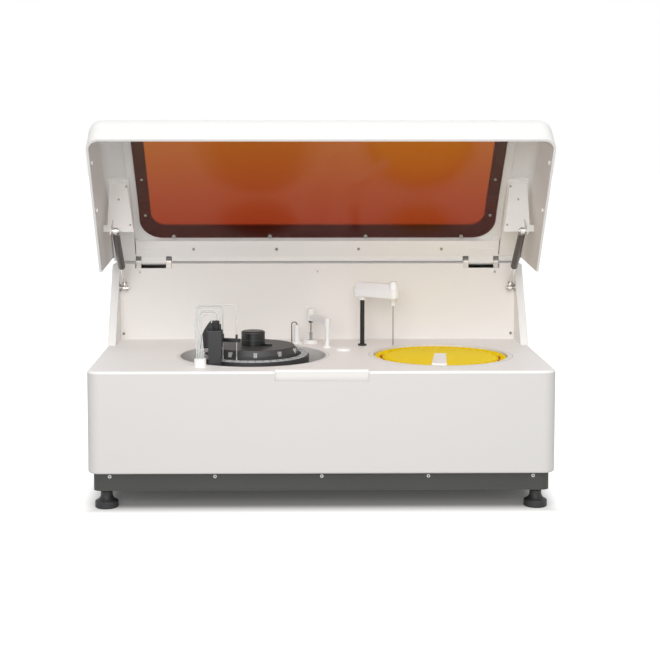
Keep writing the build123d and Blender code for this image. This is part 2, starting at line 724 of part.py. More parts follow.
with BuildPart() as lid_rail:
    with BuildSketch(lid_side.offset(-rail_half)):
        with BuildLine():
            Polyline((rail_front[0], skin_under_z), rail_front, rail_fold, rail_end)
            offset(amount=rail_sheet, side=Side.LEFT)
        make_face()
    extrude(amount=2 * rail_half)
    with BuildSketch(lid_side.offset(-strip_half)):
        with BuildLine():
            Polyline((strip_front_y, rail_z(strip_front_y)), rail_fold, rail_end)
            offset(amount=rail_sheet, side=Side.LEFT)
        make_face()
    extrude(amount=2 * strip_half)
    with BuildSketch(lid_side.offset(-rail_half)):
        with Locations((rail_front[0], skin_under_z + rail_sheet)):
            Rectangle(4 * rail_sheet, 2 * rail_sheet)
    extrude(amount=2 * rail_half, mode=Mode.SUBTRACT)
    for sign in (-1, 1):
        with BuildSketch(across(sign * hinge_x - hinge_notch_half, hinge_y, hinge_z)):
            Circle(rail_notch)
        extrude(amount=2 * hinge_notch_half, mode=Mode.SUBTRACT)
finish(lid_rail.part, "lid_rail")

rail_screw_inset = 84.0     # from a hinge's middle
rail_screw_pitch = 174.0
rail_screw_end = hinge_x - rail_screw_inset
rail_screw_mid = rail_screw_end - rail_screw_pitch
rail_screw_x = [-rail_screw_end, -rail_screw_mid, rail_screw_mid, rail_screw_end]
rail_screw_y = front_y + 392.0
rail_screw_radius = 3.0
rail_screw_height = 1.6
rail_normal = Vector(0, rail_slope, -1).normalized()
with BuildPart() as rail_screws:
    for x in rail_screw_x:
        seat = Plane(origin=lid_plan.from_local_coords(Vector(x, rail_screw_y, rail_z(rail_screw_y))),
                     x_dir=(1, 0, 0), z_dir=lid_plan.from_local_coords(rail_normal) - lid_plan.origin)
        with BuildSketch(seat):
            Circle(rail_screw_radius)
        extrude(amount=rail_screw_height)
finish(together(window_nuts.part, rail_screws.part), "lid_screws")

with BuildPart() as hinge_leaves:
    for sign in (-1, 1):
        with BuildSketch(lid_side.offset(sign * hinge_x - hinge_leaf_width / 2)):
            with BuildLine():
                Polyline((leaf_front_y, rail_z(leaf_front_y)), rail_fold, (hinge_y, hinge_z + 2),
                         (hinge_y - 2, hinge_z - hinge_radius + 1), (rail_fold[0], rail_fold[1] - leaf_sheet),
                         (leaf_front_y, rail_z(leaf_front_y) - leaf_sheet), close=True)
            make_face()
            with Locations((hinge_y, hinge_z)):
                Circle(hinge_radius)
                Circle(hinge_pin_radius + running_gap, mode=Mode.SUBTRACT)
        extrude(amount=hinge_leaf_width)
finish(hinge_leaves.part, "hinge_leaves")

# each bracket is a slanting plate that hangs below the tray, with an ear for the spring's stud
plate_top_drop = 21.0
plate_end_drop = 119.0
plate_top = (front_y + 214.0, lid_top_z - plate_top_drop)
plate_end = (front_y + 274.0, lid_top_z - plate_end_drop)
plate_run = hypot(plate_end[0] - plate_top[0], plate_end[1] - plate_top[1])
plate_sheet = 2.0
plate_first = (plate_top[1] - tray_z) / (plate_top[1] - plate_end[1]) * plate_run
plate_last = 0.945 * plate_run
plate_reach = 19.0          # from the spring's axis to the plate's outer edge
plate_outer_x = strut_x + plate_reach
# the plate's inner edge: how far inside the spring's axis it lies, and how far down the plate
plate_edge = [(2.0, 0.0), (12.0, 6.0), (18.0, 16.0), (27.0, 72.0), (34.0, plate_last)]
plate_steps = [(strut_x - inside, run) for inside, run in plate_edge]
plate_tab = 12.0
plate_tab_width = 14.0
plate_dir = ((plate_end[0] - plate_top[0]) / plate_run, (plate_end[1] - plate_top[1]) / plate_run)
plate_screws = [(strut_x - 12.0, 13.0), (strut_x + 2.0, 39.0), (strut_x - 22.5, 93.0)]
plate_screw_radius = 2.6
plate_screw_height = 1.5
ear_x = strut_x + strut_tube_radius + 0.8
ear_sheet = 2.5
ear_radius = 8.0
stud_gap = 0.4
stud_face_x = strut_x + strut_eye_width / 2 + stud_gap


def plate_plane(sign):
    """The visible face of a bracket's plate: local x is the model's X, local y runs down the plate."""
    down = lid_plan.from_local_coords(Vector(0, *plate_dir)) - lid_plan.origin
    face_out = Vector(1, 0, 0).cross(down)
    return Plane(origin=lid_plan.from_local_coords(Vector(0, *plate_top)), x_dir=(1, 0, 0), z_dir=face_out)


def plate_point(run, lift=0.0):
    """A point of the plate in the hood's side plane, run down from its top and lift off its face."""
    return (plate_top[0] + plate_dir[0] * run - plate_dir[1] * lift,
            plate_top[1] + plate_dir[1] * run + plate_dir[0] * lift)


trays = []
brackets = []
for sign in (-1, 1):
    with BuildPart() as lid_tray:
        with BuildSketch(lid_side.offset(sign * tray_inner_x)):
            add(hood_profile(lid_wall, (lid_rear_y, lid_foot_z), (lid_front_y, lid_foot_z)))
            with Locations(((tray_front_y + tray_back_y) / 2, tray_z + lid_height / 2)):
                Rectangle(tray_back_y - tray_front_y, lid_height, mode=Mode.INTERSECT)
        extrude(amount=sign * (tray_outer_x - tray_inner_x))
        with BuildSketch(lid_side.offset(sign * (tray_inner_x + tray_sheet))):
            with Locations(((tray_front_y + tray_back_y) / 2, tray_z + tray_sheet + lid_height / 2)):
                Rectangle(tray_back_y - tray_front_y - 2 * tray_sheet, lid_height)
        extrude(amount=sign * (tray_outer_x - tray_inner_x), mode=Mode.SUBTRACT)
        # the outer edge stays below the rounded inside of the hood's corner
        add(hood_block(lid_wall, lid_half - lid_wall, (lid_rear_y - lid_wall, lid_foot_z),
                       (lid_front_y + lid_wall, lid_foot_z)), mode=Mode.INTERSECT)
    trays.append(lid_tray.part)

    plate = plate_plane(sign)
    with BuildPart() as spring_bracket:
        with BuildSketch(plate):
            with BuildLine():
                Polyline((sign * plate_outer_x, plate_first),
                         *[(sign * x, max(run, plate_first)) for x, run in plate_steps],
                         (sign * plate_outer_x, plate_last), close=True)
            make_face()
        extrude(amount=-plate_sheet)
        with BuildSketch(lid_side.offset(sign * (plate_steps[0][0] + 1))):
            with BuildLine():
                Polyline((plate_top[0], tray_z), (plate_top[0] + plate_tab, tray_z),
                         (plate_top[0] + plate_tab, tray_z - plate_sheet),
                         (plate_top[0], tray_z - plate_sheet), close=True)
            make_face()
        extrude(amount=sign * (plate_outer_x - plate_steps[0][0] - 1))
        with BuildSketch(lid_side.offset(sign * (plate_outer_x - 1))):
            with BuildLine():
                Polyline(plate_point(plate_last - plate_tab_width), plate_point(plate_last),
                         plate_point(plate_last, -plate_sheet),
                         plate_point(plate_last - plate_tab_width, -plate_sheet), close=True)
            make_face()
        extrude(amount=sign * (lid_half - lid_wall - plate_outer_x + 1))
        with BuildSketch(lid_side.offset(sign * ear_x)):
            with BuildLine():
                Polyline(plate_point(plate_last - 26, -plate_sheet), plate_point(plate_last, -plate_sheet),
                         (strut_high_shut[0] + 6, strut_high_shut[1] - 5),
                         (strut_high_shut[0] - 6, strut_high_shut[1] + 4), close=True)
            make_face()
            with Locations(strut_high_shut):
                Circle(ear_radius)
        extrude(amount=sign * ear_sheet)
        with BuildSketch(lid_side.offset(sign * ear_x)):
            with Locations(strut_high_shut):
                Circle(strut_pin_radius)
        extrude(amount=sign * (stud_face_x - ear_x))
        for x, run in plate_screws:
            with BuildSketch(plate):
                with Locations((sign * x, run)):
                    Circle(plate_screw_radius)
            extrude(amount=plate_screw_height)
    brackets.append(spring_bracket.part)
finish(together(*trays), "lid_trays")
finish(together(*brackets), "spring_brackets")

# ================================================================ gas springs
strut_high = opened(*strut_high_shut)
strut_span = Vector(0, strut_high[0] - strut_low[0], strut_high[1] - strut_low[1])
strut_length = strut_span.length
strut_dir = strut_span.normalized()
strut_neck_radius = 3.4
strut_neck_length = 8.5
strut_fitting_radius = 5.0
strut_fitting_length = 18.0
strut_tube_to = strut_length - strut_neck_length
strut_tube_from = strut_tube_to - strut_tube_length
strut_rod_tip = strut_tube_from + 26.0
strut_stud_flange = 7.5
strut_stud_sheet = 2.5
strut_round = 2.0
strut_end_wall = 10.0

with BuildPart() as strut_studs:
    for sign in (-1, 1):
        with BuildSketch(across(sign * panel_x, *strut_low)):
            Circle(strut_stud_flange)
        extrude(amount=-sign * strut_stud_sheet)
        with BuildSketch(across(sign * panel_x, *strut_low)):
            Circle(strut_pin_radius)
        extrude(amount=-sign * (panel_x - strut_x + strut_eye_width / 2 + 1))
finish(strut_studs.part, "strut_studs")

for side, sign in (("left", -1), ("right", 1)):
    x = sign * strut_x
    strut_axis = Plane(origin=(x, *strut_low), x_dir=(1, 0, 0), z_dir=strut_dir)
    with BuildPart() as gas_rod:
        with BuildSketch(strut_axis):
            Circle(strut_neck_radius)
        extrude(amount=strut_fitting_length)
        with BuildSketch(strut_axis.offset(strut_neck_length)):
            Circle(strut_fitting_radius)
        extrude(amount=strut_fitting_length - strut_neck_length)
        with BuildSketch(strut_axis):
            Circle(strut_rod_radius)
        extrude(amount=strut_rod_tip)
        with BuildSketch(across(x - strut_eye_width / 2, *strut_low)):
            Circle(strut_eye_radius)
        extrude(amount=strut_eye_width)
        with BuildSketch(across(x - strut_eye_width / 2, *strut_low)):
            Circle(strut_pin_radius + running_gap)
        extrude(amount=strut_eye_width, mode=Mode.SUBTRACT)
    finish(gas_rod.part, f"gas_rod_{side}")

    with BuildPart() as gas_tube:
        with BuildSketch(strut_axis.offset(strut_tube_from)):
            Circle(strut_tube_radius)
        extrude(amount=strut_tube_length)
        fillet(gas_tube.edges().filter_by(GeomType.CIRCLE), strut_round)
        with BuildSketch(strut_axis.offset(strut_tube_from)):
            Circle(strut_rod_radius + running_gap)
        extrude(amount=strut_tube_length - strut_end_wall, mode=Mode.SUBTRACT)
        with BuildSketch(strut_axis.offset(strut_tube_to - strut_end_wall / 2)):
            Circle(strut_neck_radius)
        extrude(amount=strut_neck_length + strut_end_wall / 2)
        with BuildSketch(across(x - strut_eye_width / 2, *strut_high)):
            Circle(strut_eye_radius)
        extrude(amount=strut_eye_width)
        with BuildSketch(across(x - strut_eye_width / 2, *strut_high)):
            Circle(strut_pin_radius + running_gap)
        extrude(amount=strut_eye_width, mode=Mode.SUBTRACT)
    finish(gas_tube.part, f"gas_tube_{side}")

# ================================================================ reaction side
# heights are measured from the deck, radii from the axis of the disc
wash_column_x = 24.0
wash_column_y = 20.0
disc_top = 20.0
disc_sheet = 3.0
disc_crown_radius = 80.0
disc_side_radius = 88.0
disc_side_wall = 6.0
disc_shoulder = 10.0
disc_floor = -36.0
disc_hoop_radius = 109.0
disc_hoop_wall = 2.2
disc_hoop_top = 2.0
lens_count = 11
lens_first = -90.0 - 28.7
lens_inner = 84.5
lens_outer = 88.6
lens_width = 6.4
lens_low = 8.0
lens_height = 9.0
cuvette_bottom = disc_floor + disc_sheet
cuvette_top = 4.0
cuvette_inner = 94.0
cuvette_outer = disc_hoop_radius - disc_hoop_wall - seat_gap
cuvette_wall = 1.9
cuvette_partition = 1.0
cuvette_count = 44
cuvette_step = 360 / cuvette_count
cuvette_first = -106.5
cuvette_middle = (cuvette_inner + cuvette_outer) / 2
knob_radius = 23.0
knob_top = 48.0
knob_round = 4.0
knob_pin_radius = 3.0
knob_pin_height = 10.0
lever_angle = -25.0
lever_reach = 35.0
lever_width = 10.0
lever_sheet = 4.0
motor_depth = 40.0          # how far a spindle reaches into its motor
disc_spindle_low = reaction_tub_z - deck_z - motor_depth
spindle_flange = 20.0

with BuildPart() as reaction_tub:
    with BuildSketch(Plane.XY.offset(reaction_tub_z)):
        with Locations((reaction_x, disc_y)):
            Circle(reaction_tub_radius)
    extrude(amount=reaction_tub_depth + tub_floor)
    with BuildSketch(Plane.XY.offset(reaction_tub_z + tub_floor)):
        with Locations((reaction_x, disc_y)):
            Circle(reaction_tub_radius - reaction_tub_wall)
    extrude(amount=reaction_tub_depth, mode=Mode.SUBTRACT)
    with BuildSketch(Plane.XY.offset(reaction_tub_z)):
        with Locations((reaction_x, disc_y)):
            Circle(spindle_radius + spindle_hole_gap)
        with Locations((wash_x, wash_y)):
            Rectangle(wash_column_x + 2 * seat_gap, wash_column_y + 2 * seat_gap)
    extrude(amount=tub_floor, mode=Mode.SUBTRACT)
finish(reaction_tub.part, "reaction_tub")

with BuildPart() as reaction_disc:
    with BuildSketch(Plane((reaction_x, disc_y, deck_z), x_dir=(1, 0, 0), z_dir=(0, -1, 0))):
        with BuildLine():
            Polyline((spindle_radius, disc_top - disc_sheet),
                     (disc_crown_radius - disc_sheet, disc_top - disc_sheet),
                     (disc_side_radius - disc_side_wall, disc_shoulder - disc_sheet),
                     (disc_side_radius - disc_side_wall, disc_floor), (disc_hoop_radius, disc_floor),
                     (disc_hoop_radius, disc_hoop_top), (disc_hoop_radius - disc_hoop_wall, disc_hoop_top),
                     (disc_hoop_radius - disc_hoop_wall, disc_floor + disc_sheet),
                     (disc_side_radius, disc_floor + disc_sheet),
                     (disc_side_radius, disc_shoulder), (disc_crown_radius, disc_top),
                     (spindle_radius, disc_top), close=True)
        make_face()
    revolve(axis=Axis((reaction_x, disc_y, 0), (0, 0, 1)))
    with BuildSketch(Plane.XY.offset(deck_z + lens_low)):
        with Locations((reaction_x, disc_y)):
            with PolarLocations(disc_side_radius, lens_count, start_angle=lens_first):
                Rectangle(2 * (disc_side_radius - lens_inner), lens_width + 2 * seat_gap)
    extrude(amount=disc_top - lens_low, mode=Mode.SUBTRACT)
finish(reaction_disc.part, "reaction_disc")

with BuildPart() as cuvette_ring:
    with BuildSketch(Plane.XY.offset(deck_z + cuvette_bottom)):
        with Locations((reaction_x, disc_y)):
            Circle(cuvette_outer)
            Circle(cuvette_inner, mode=Mode.SUBTRACT)
    extrude(amount=cuvette_top - cuvette_bottom)
    with BuildSketch(Plane.XY.offset(deck_z + cuvette_bottom + cuvette_wall)):
        with Locations((reaction_x, disc_y)):
            Circle(cuvette_outer - cuvette_wall)
            Circle(cuvette_inner + cuvette_wall, mode=Mode.SUBTRACT)
        with Locations((reaction_x, disc_y)):
            with PolarLocations(cuvette_middle, cuvette_count, start_angle=cuvette_first + cuvette_step / 2):
                Rectangle(cuvette_outer - cuvette_inner, cuvette_partition, mode=Mode.SUBTRACT)
    extrude(amount=cuvette_top - cuvette_bottom - cuvette_wall, mode=Mode.SUBTRACT)

with BuildPart() as disc_lenses:
    with BuildSketch(Plane.XY.offset(deck_z + lens_low)):
        with Locations((reaction_x, disc_y)):
            with PolarLocations((lens_inner + lens_outer) / 2, lens_count, start_angle=lens_first):
                Rectangle(lens_outer - lens_inner, lens_width)
    extrude(amount=lens_height)
finish(together(cuvette_ring.part, disc_lenses.part), "cuvette_ring")

with BuildPart() as disc_knob:
    with BuildSketch(Plane.XY.offset(deck_z + disc_top + seat_gap)):
        with Locations((reaction_x, disc_y)):
            Circle(knob_radius)
    extrude(amount=knob_top - disc_top - seat_gap)
    fillet(disc_knob.edges().sort_by(Axis.Z)[-1], knob_round)
    with BuildSketch(Plane.XY.offset(deck_z + disc_top + seat_gap)):
        with Locations(Location((reaction_x, disc_y, 0), (0, 0, lever_angle))):
            with Locations((lever_reach / 2, 0)):
                SlotOverall(lever_reach + lever_width, lever_width)
    extrude(amount=lever_sheet)
    with BuildSketch(Plane.XY.offset(deck_z + disc_top + seat_gap)):
        with Locations((reaction_x, disc_y)):
            Circle(knob_pin_radius + running_gap)
    extrude(amount=knob_pin_height, mode=Mode.SUBTRACT)
finish(disc_knob.part, "disc_knob")

with BuildPart() as reaction_spindle:
    with BuildSketch(Plane.XY.offset(deck_z + disc_top)):
        with Locations((reaction_x, disc_y)):
            Circle(spindle_radius)
    extrude(amount=-(disc_top - disc_spindle_low))
    with BuildSketch(Plane.XY.offset(deck_z + disc_top - disc_sheet)):
        with Locations((reaction_x, disc_y)):
            Circle(spindle_flange)
    extrude(amount=-disc_sheet)
    with BuildSketch(Plane.XY.offset(deck_z + disc_top)):
        with Locations((reaction_x, disc_y)):
            Circle(knob_pin_radius)
    extrude(amount=knob_pin_height - 1)
finish(reaction_spindle.part, "reaction_spindle")

# ================================================================ reagent side
rack_radius = 128.0
rack_top = -3.0
rack_floor = -80.0
rack_floor_sheet = 4.0
rack_top_sheet = 4.0
rack_hollow = 100.0
well_circle = 116.0
well_radius = 8.2
well_count = 48
well_first = degrees(atan2(probe_tip_y - disc_y, probe_tip_x - reagent_x))
handle_angle = -97.0
handle_length = 126.0
handle_inner = 23.0
handle_outer = 28.5
handle_height = 6.0
handle_round = 1.5
rack_spindle_low = reagent_tub_z - deck_z - motor_depth

with BuildPart() as reagent_tub:
    with BuildSketch(Plane.XY.offset(reagent_tub_z)):
        with Locations((reagent_x, disc_y)):
            Circle(reagent_tub_radius)
    extrude(amount=reagent_tub_depth + tub_floor)
    with BuildSketch(Plane.XY.offset(reagent_tub_z + tub_floor)):
        with Locations((reagent_x, disc_y)):
            Circle(reagent_tub_radius - reagent_tub_wall)
    extrude(amount=reagent_tub_depth, mode=Mode.SUBTRACT)
    with BuildSketch(Plane.XY.offset(reagent_tub_z)):
        with Locations((reagent_x, disc_y)):
            Circle(spindle_radius + spindle_hole_gap)
    extrude(amount=tub_floor, mode=Mode.SUBTRACT)
finish(reagent_tub.part, "reagent_tub")

# the rack's ring of wells, one run of round lobes, parts its core from its rim
with BuildPart() as rack_base:
    with BuildSketch(Plane.XY.offset(deck_z + rack_floor)):
        with Locations((reagent_x, disc_y)):
            Circle(rack_radius)
            Circle(spindle_radius, mode=Mode.SUBTRACT)
    extrude(amount=rack_floor_sheet)

with BuildPart() as rack_core:
    with BuildSketch(Plane.XY.offset(deck_z + rack_floor + rack_floor_sheet)):
        with Locations((reagent_x, disc_y)):
            Circle(well_circle)
            Circle(rack_hollow, mode=Mode.SUBTRACT)
            with PolarLocations(well_circle, well_count, start_angle=well_first):
                Circle(well_radius, mode=Mode.SUBTRACT)
    extrude(amount=rack_top - rack_floor - rack_floor_sheet)

with BuildPart() as rack_plate:
    with BuildSketch(Plane.XY.offset(deck_z + rack_top)):
        with Locations((reagent_x, disc_y)):
            Circle(rack_hollow - running_gap)
    extrude(amount=-rack_top_sheet)

with BuildPart() as rack_rim:
    with BuildSketch(Plane.XY.offset(deck_z + rack_floor + rack_floor_sheet)):
        with Locations((reagent_x, disc_y)):
            Circle(rack_radius)
            Circle(well_circle, mode=Mode.SUBTRACT)
            with PolarLocations(well_circle, well_count, start_angle=well_first):
                Circle(well_radius, mode=Mode.SUBTRACT)
    extrude(amount=rack_top - rack_floor - rack_floor_sheet)
finish(together(rack_base.part, rack_core.part, rack_plate.part, rack_rim.part), "reagent_rack")

with BuildPart() as rack_handle:
    with BuildSketch(Plane(origin=(reagent_x, disc_y, deck_z + rack_top),
                           x_dir=(cos(radians(handle_angle)), sin(radians(handle_angle)), 0),
                           z_dir=(0, 0, 1))):
        with BuildLine():
            Polyline((0, -handle_inner / 2), (handle_length, -handle_outer / 2),
                     (handle_length, handle_outer / 2), (0, handle_inner / 2), close=True)
        make_face()
    extrude(amount=handle_height)
    fillet(rack_handle.faces().sort_by(Axis.Z)[-1].edges(), handle_round)
finish(rack_handle.part, "rack_handle")

with BuildPart() as reagent_spindle:
    with BuildSketch(Plane.XY.offset(deck_z + rack_floor + rack_floor_sheet)):
        with Locations((reagent_x, disc_y)):
            Circle(spindle_radius)
    extrude(amount=-(rack_floor + rack_floor_sheet - rack_spindle_low))
    with BuildSketch(Plane.XY.offset(deck_z + rack_floor)):
        with Locations((reagent_x, disc_y)):
            Circle(spindle_flange)
    extrude(amount=-disc_sheet)
finish(reagent_spindle.part, "reagent_spindle")

# ================================================================ motors and pillars under the tubs
motor_width = 57.0
motor_chamfer = 5.0
motor_height = 70.0
motor_end = 5.0
pillar_radius = 6.0
pillar_count = 4
pillar_first = 30.0
reaction_pillar_circle = 120.0
reagent_pillar_circle = 110.0

motors = []
for x, tub_z in ((reaction_x, reaction_tub_z), (reagent_x, reagent_tub_z)):
    with BuildPart() as motor:
        with BuildSketch(Plane.XY.offset(tub_z)) as motor_plan:
            with Locations((x, disc_y)):
                Rectangle(motor_width, motor_width)
            chamfer(motor_plan.vertices(), motor_chamfer)
        extrude(amount=-motor_height)
        with BuildSketch(Plane.XY.offset(tub_z)):
            with Locations((x, disc_y)):
                Circle(spindle_radius + running_gap)
        extrude(amount=-motor_height + motor_end, mode=Mode.SUBTRACT)
    motors.append(motor.part)
finish(together(*motors), "disc_motors")

with BuildPart() as tub_pillars:
    for x, tub_z, circle in ((reaction_x, reaction_tub_z, reaction_pillar_circle),
                             (reagent_x, reagent_tub_z, reagent_pillar_circle)):
        with BuildSketch(Plane.XY.offset(floor_z)):
            with Locations((x, disc_y)):
                with PolarLocations(circle, pillar_count, start_angle=pillar_first):
                    Circle(pillar_radius)
        extrude(amount=tub_z - floor_z)
finish(tub_pillars.part, "tub_pillars")

# ================================================================ sampling arm
drive_width = 56.0
drive_wall = 4.0
drive_end = 6.0
carriage_width = drive_width - 2 * drive_wall - 2 * seat_gap
carriage_drop = 130.0
carriage_height = 30.0
column_tail = 8.0
column_flange = 3.0
probe_collar_radius = 8.75
probe_collar_height = 3.0
probe_arm_low = 102.0
probe_arm_side = 14.7
probe_arm_height = 28.0
probe_arm_width = 24.0
probe_arm_round = 9.0
probe_arm_taper = 28.0
probe_tail = 18.0
probe_head_overhang = 12.0
probe_arm_length = probe_reach + probe_head_overhang + probe_tail
probe_head_radius = 11.8
probe_head_top = 135.0
probe_head_taper = 15.0
probe_boss_radius = 8.0
probe_boss_height = 8.0
nozzle_top_radius = 9.0
nozzle_waist = 92.0
nozzle_waist_radius = 5.5
nozzle_low = 87.0
needle_radius = 1.15
needle_tip = 6.4

with BuildPart() as probe_drive:
    with BuildSketch(Plane.XY.offset(floor_z)):
        with Locations((probe_x, probe_y)):
            Rectangle(drive_width, drive_width)
    extrude(amount=deck_under_z - seat_gap - floor_z)
    with BuildSketch(Plane.XY.offset(floor_z + drive_end)):
        with Locations((probe_x, probe_y)):
            Rectangle(drive_width - 2 * drive_wall, drive_width - 2 * drive_wall)
    extrude(amount=deck_under_z - seat_gap - floor_z - 2 * drive_end, mode=Mode.SUBTRACT)
    with BuildSketch(Plane.XY.offset(deck_under_z - seat_gap)):
        with Locations((probe_x, probe_y)):
            Circle(post_radius + running_gap)
    extrude(amount=-drive_end, mode=Mode.SUBTRACT)
    # one side is open, so that the carriage can be reached
    with BuildSketch(Plane.XZ.offset(-(probe_y - drive_width / 2))):
        with Locations((probe_x, (floor_z + deck_under_z) / 2)):
            Rectangle(drive_width - 4 * drive_wall, deck_under_z - floor_z - 4 * drive_end)
    extrude(amount=-drive_wall, mode=Mode.SUBTRACT)

with BuildPart() as probe_carriage:
    with BuildSketch(Plane.XY.offset(deck_z - carriage_drop)):
        with Locations((probe_x, probe_y)):
            Rectangle(carriage_width, carriage_width)
            Circle(post_radius + running_gap, mode=Mode.SUBTRACT)
    extrude(amount=carriage_height)
finish(probe_carriage.part, "probe_carriage")

with BuildPart() as probe_collar:
    with BuildSketch(Plane.XY.offset(deck_z)):
        with Locations((probe_x, probe_y)):
            Circle(probe_collar_radius)
            Circle(post_radius + running_gap, mode=Mode.SUBTRACT)
    extrude(amount=probe_collar_height)

with BuildPart() as probe_column:
    with BuildSketch(Plane.XY.offset(deck_z - carriage_drop - column_tail)):
        with Locations((probe_x, probe_y)):
            Circle(post_radius)
    extrude(amount=probe_arm_low + carriage_drop + column_tail)
    for low in (-carriage_drop - running_gap - column_flange, carriage_height - carriage_drop + running_gap):
        with BuildSketch(Plane.XY.offset(deck_z + low)):
            with Locations((probe_x, probe_y)):
                Circle(2 * post_radius)
        extrude(amount=column_flange)
finish(probe_column.part, "probe_column")

with BuildPart() as probe_arm:
    with BuildSketch(Plane.XY.offset(deck_z + probe_arm_low)):
        with Locations(Location((probe_x, probe_y, 0), (0, 0, probe_angle))):
            with Locations(((probe_reach + probe_head_overhang - probe_tail) / 2, 0)):
                RectangleRounded(probe_arm_length, probe_arm_width, probe_arm_round)
    extrude(amount=probe_arm_side)
    extrude(probe_arm.faces().sort_by(Axis.Z)[-1], amount=probe_arm_height - probe_arm_side,
            taper=probe_arm_taper)
    with BuildSketch(Plane.XY.offset(deck_z + probe_arm_low + probe_arm_side)):
        with Locations((probe_tip_x, probe_tip_y)):
            Circle(probe_head_radius)
    extrude(amount=probe_head_top - probe_arm_low - probe_arm_side, taper=probe_head_taper)
    with BuildSketch(Plane.XY.offset(deck_z + probe_arm_low)):
        with Locations((probe_x, probe_y)):
            Circle(probe_boss_radius)
            Circle(post_radius, mode=Mode.SUBTRACT)
    extrude(amount=-probe_boss_height)
finish(probe_arm.part, "probe_arm")

with BuildPart() as probe_needle:
    with BuildSketch(Plane((probe_tip_x, probe_tip_y, deck_z), x_dir=(1, 0, 0), z_dir=(0, -1, 0))):
        with BuildLine():
            Polyline((0, probe_arm_low), (nozzle_top_radius, probe_arm_low),
                     (nozzle_waist_radius, nozzle_waist),
                     (nozzle_waist_radius, nozzle_low), (needle_radius, nozzle_low),
                     (needle_radius, needle_tip + 2 * needle_radius), (needle_radius / 2, needle_tip),
                     (0, needle_tip), close=True)
        make_face()
    revolve(axis=Axis((probe_tip_x, probe_tip_y, 0), (0, 0, 1)))
finish(probe_needle.part, "probe_needle")

# ================================================================ cups on the deck
probe_cup_radius = 16.0
probe_cup_height = 5.0
probe_cup_bore = 6.0
mixer_cup_radius = 15.0
mixer_cup_height = 7.0
mixer_cup_bore = 8.5
cup_depth = 60.0
cup_end = 4.0
cup_drain_radius = 2.0
cup_round = 1.0
drain_depth = 20.0
drain_flange_radius = 9.0
drain_flange_height = 4.0
drain_radius = 6.0
drain_shoulder = 32.0
drain_top_radius = 4.2
drain_height = 38.0
drain_tube_radius = 1.1
drain_bore = drain_tube_radius + running_gap
drain_bore_depth = 12.0
drain_hook = 10.5
drain_hook_top = 44.0
drain_hook_bend = 4.5

cups = []
for x, y, flange_radius, flange_height, bore in (
        (wash_cup_x, wash_cup_y, probe_cup_radius, probe_cup_height, probe_cup_bore),
        (mixer_cup_x, mixer_cup_y, mixer_cup_radius, mixer_cup_height, mixer_cup_bore)):
    with BuildPart() as cup:
        with BuildSketch(Plane.XY.offset(deck_z)):
            with Locations((x, y)):
                Circle(flange_radius)
        extrude(amount=flange_height)
        fillet(cup.edges().sort_by(Axis.Z)[-1], cup_round)
        with BuildSketch(Plane.XY.offset(deck_z)):
            with Locations((x, y)):
                Circle(cup_spigot_radius)
        extrude(amount=-cup_depth)
        with BuildSketch(Plane.XY.offset(deck_z + flange_height)):
            with Locations((x, y)):
                Circle(bore)
        extrude(amount=-flange_height - cup_depth + cup_end, mode=Mode.SUBTRACT)
        with BuildSketch(Plane.XY.offset(deck_z - cup_depth)):
            with Locations((x, y)):
                Circle(cup_drain_radius)
        extrude(amount=cup_end, mode=Mode.SUBTRACT)
    cups.append(cup.part)
finish(together(*cups), "wash_cups")

with BuildPart() as drain_post:
    with BuildSketch(Plane((drain_x, drain_y, deck_z), x_dir=(1, 0, 0), z_dir=(0, -1, 0))):
        with BuildLine():
            Polyline((0, -drain_depth), (drain_spigot, -drain_depth), (drain_spigot, 0),
                     (drain_flange_radius, 0),
                     (drain_flange_radius, drain_flange_height), (drain_radius, drain_flange_height),
                     (drain_radius, drain_shoulder), (drain_top_radius, drain_height), (0, drain_height),
                     close=True)
        make_face()
    revolve(axis=Axis((drain_x, drain_y, 0), (0, 0, 1)))
    with BuildSketch(Plane.XY.offset(deck_z + drain_height)):
        with Locations((drain_x, drain_y)):
            Circle(drain_bore)
    extrude(amount=-drain_bore_depth, mode=Mode.SUBTRACT)

with BuildPart() as drain_tube:
    with BuildLine() as drain_route:
        FilletPolyline((drain_x - drain_hook, drain_y, deck_z),
                       (drain_x - drain_hook, drain_y, deck_z + drain_hook_top),
                       (drain_x, drain_y, deck_z + drain_hook_top),
                       (drain_x, drain_y, deck_z + drain_height - drain_bore_depth / 2),
                       radius=drain_hook_bend)
    with BuildSketch(Plane.XY.offset(deck_z)):
        with Locations((drain_x - drain_hook, drain_y)):
            Circle(drain_tube_radius)
    sweep(path=drain_route.line)
finish(together(drain_post.part, drain_tube.part), "drain_post")

# ================================================================ stirrer
mixer_drive_radius = 20.0
mixer_collar_radius = 9.0
mixer_collar_height = 4.0
collar_screw_radius = 1.2
collar_screw_height = 1.0
mixer_arm_low = 47.0
mixer_arm_top = 60.0
mixer_arm_width = 12.0
mixer_arm_round = 2.0
mixer_head_radius = 8.5
mixer_head_top = 72.0
paddle_rod_radius = 1.6
paddle_knob_radius = 4.5
paddle_knob_low = 42.0
paddle_tip = 8.0
paddle_half = 3.5
paddle_sheet = 0.8
paddle_height = 14.0

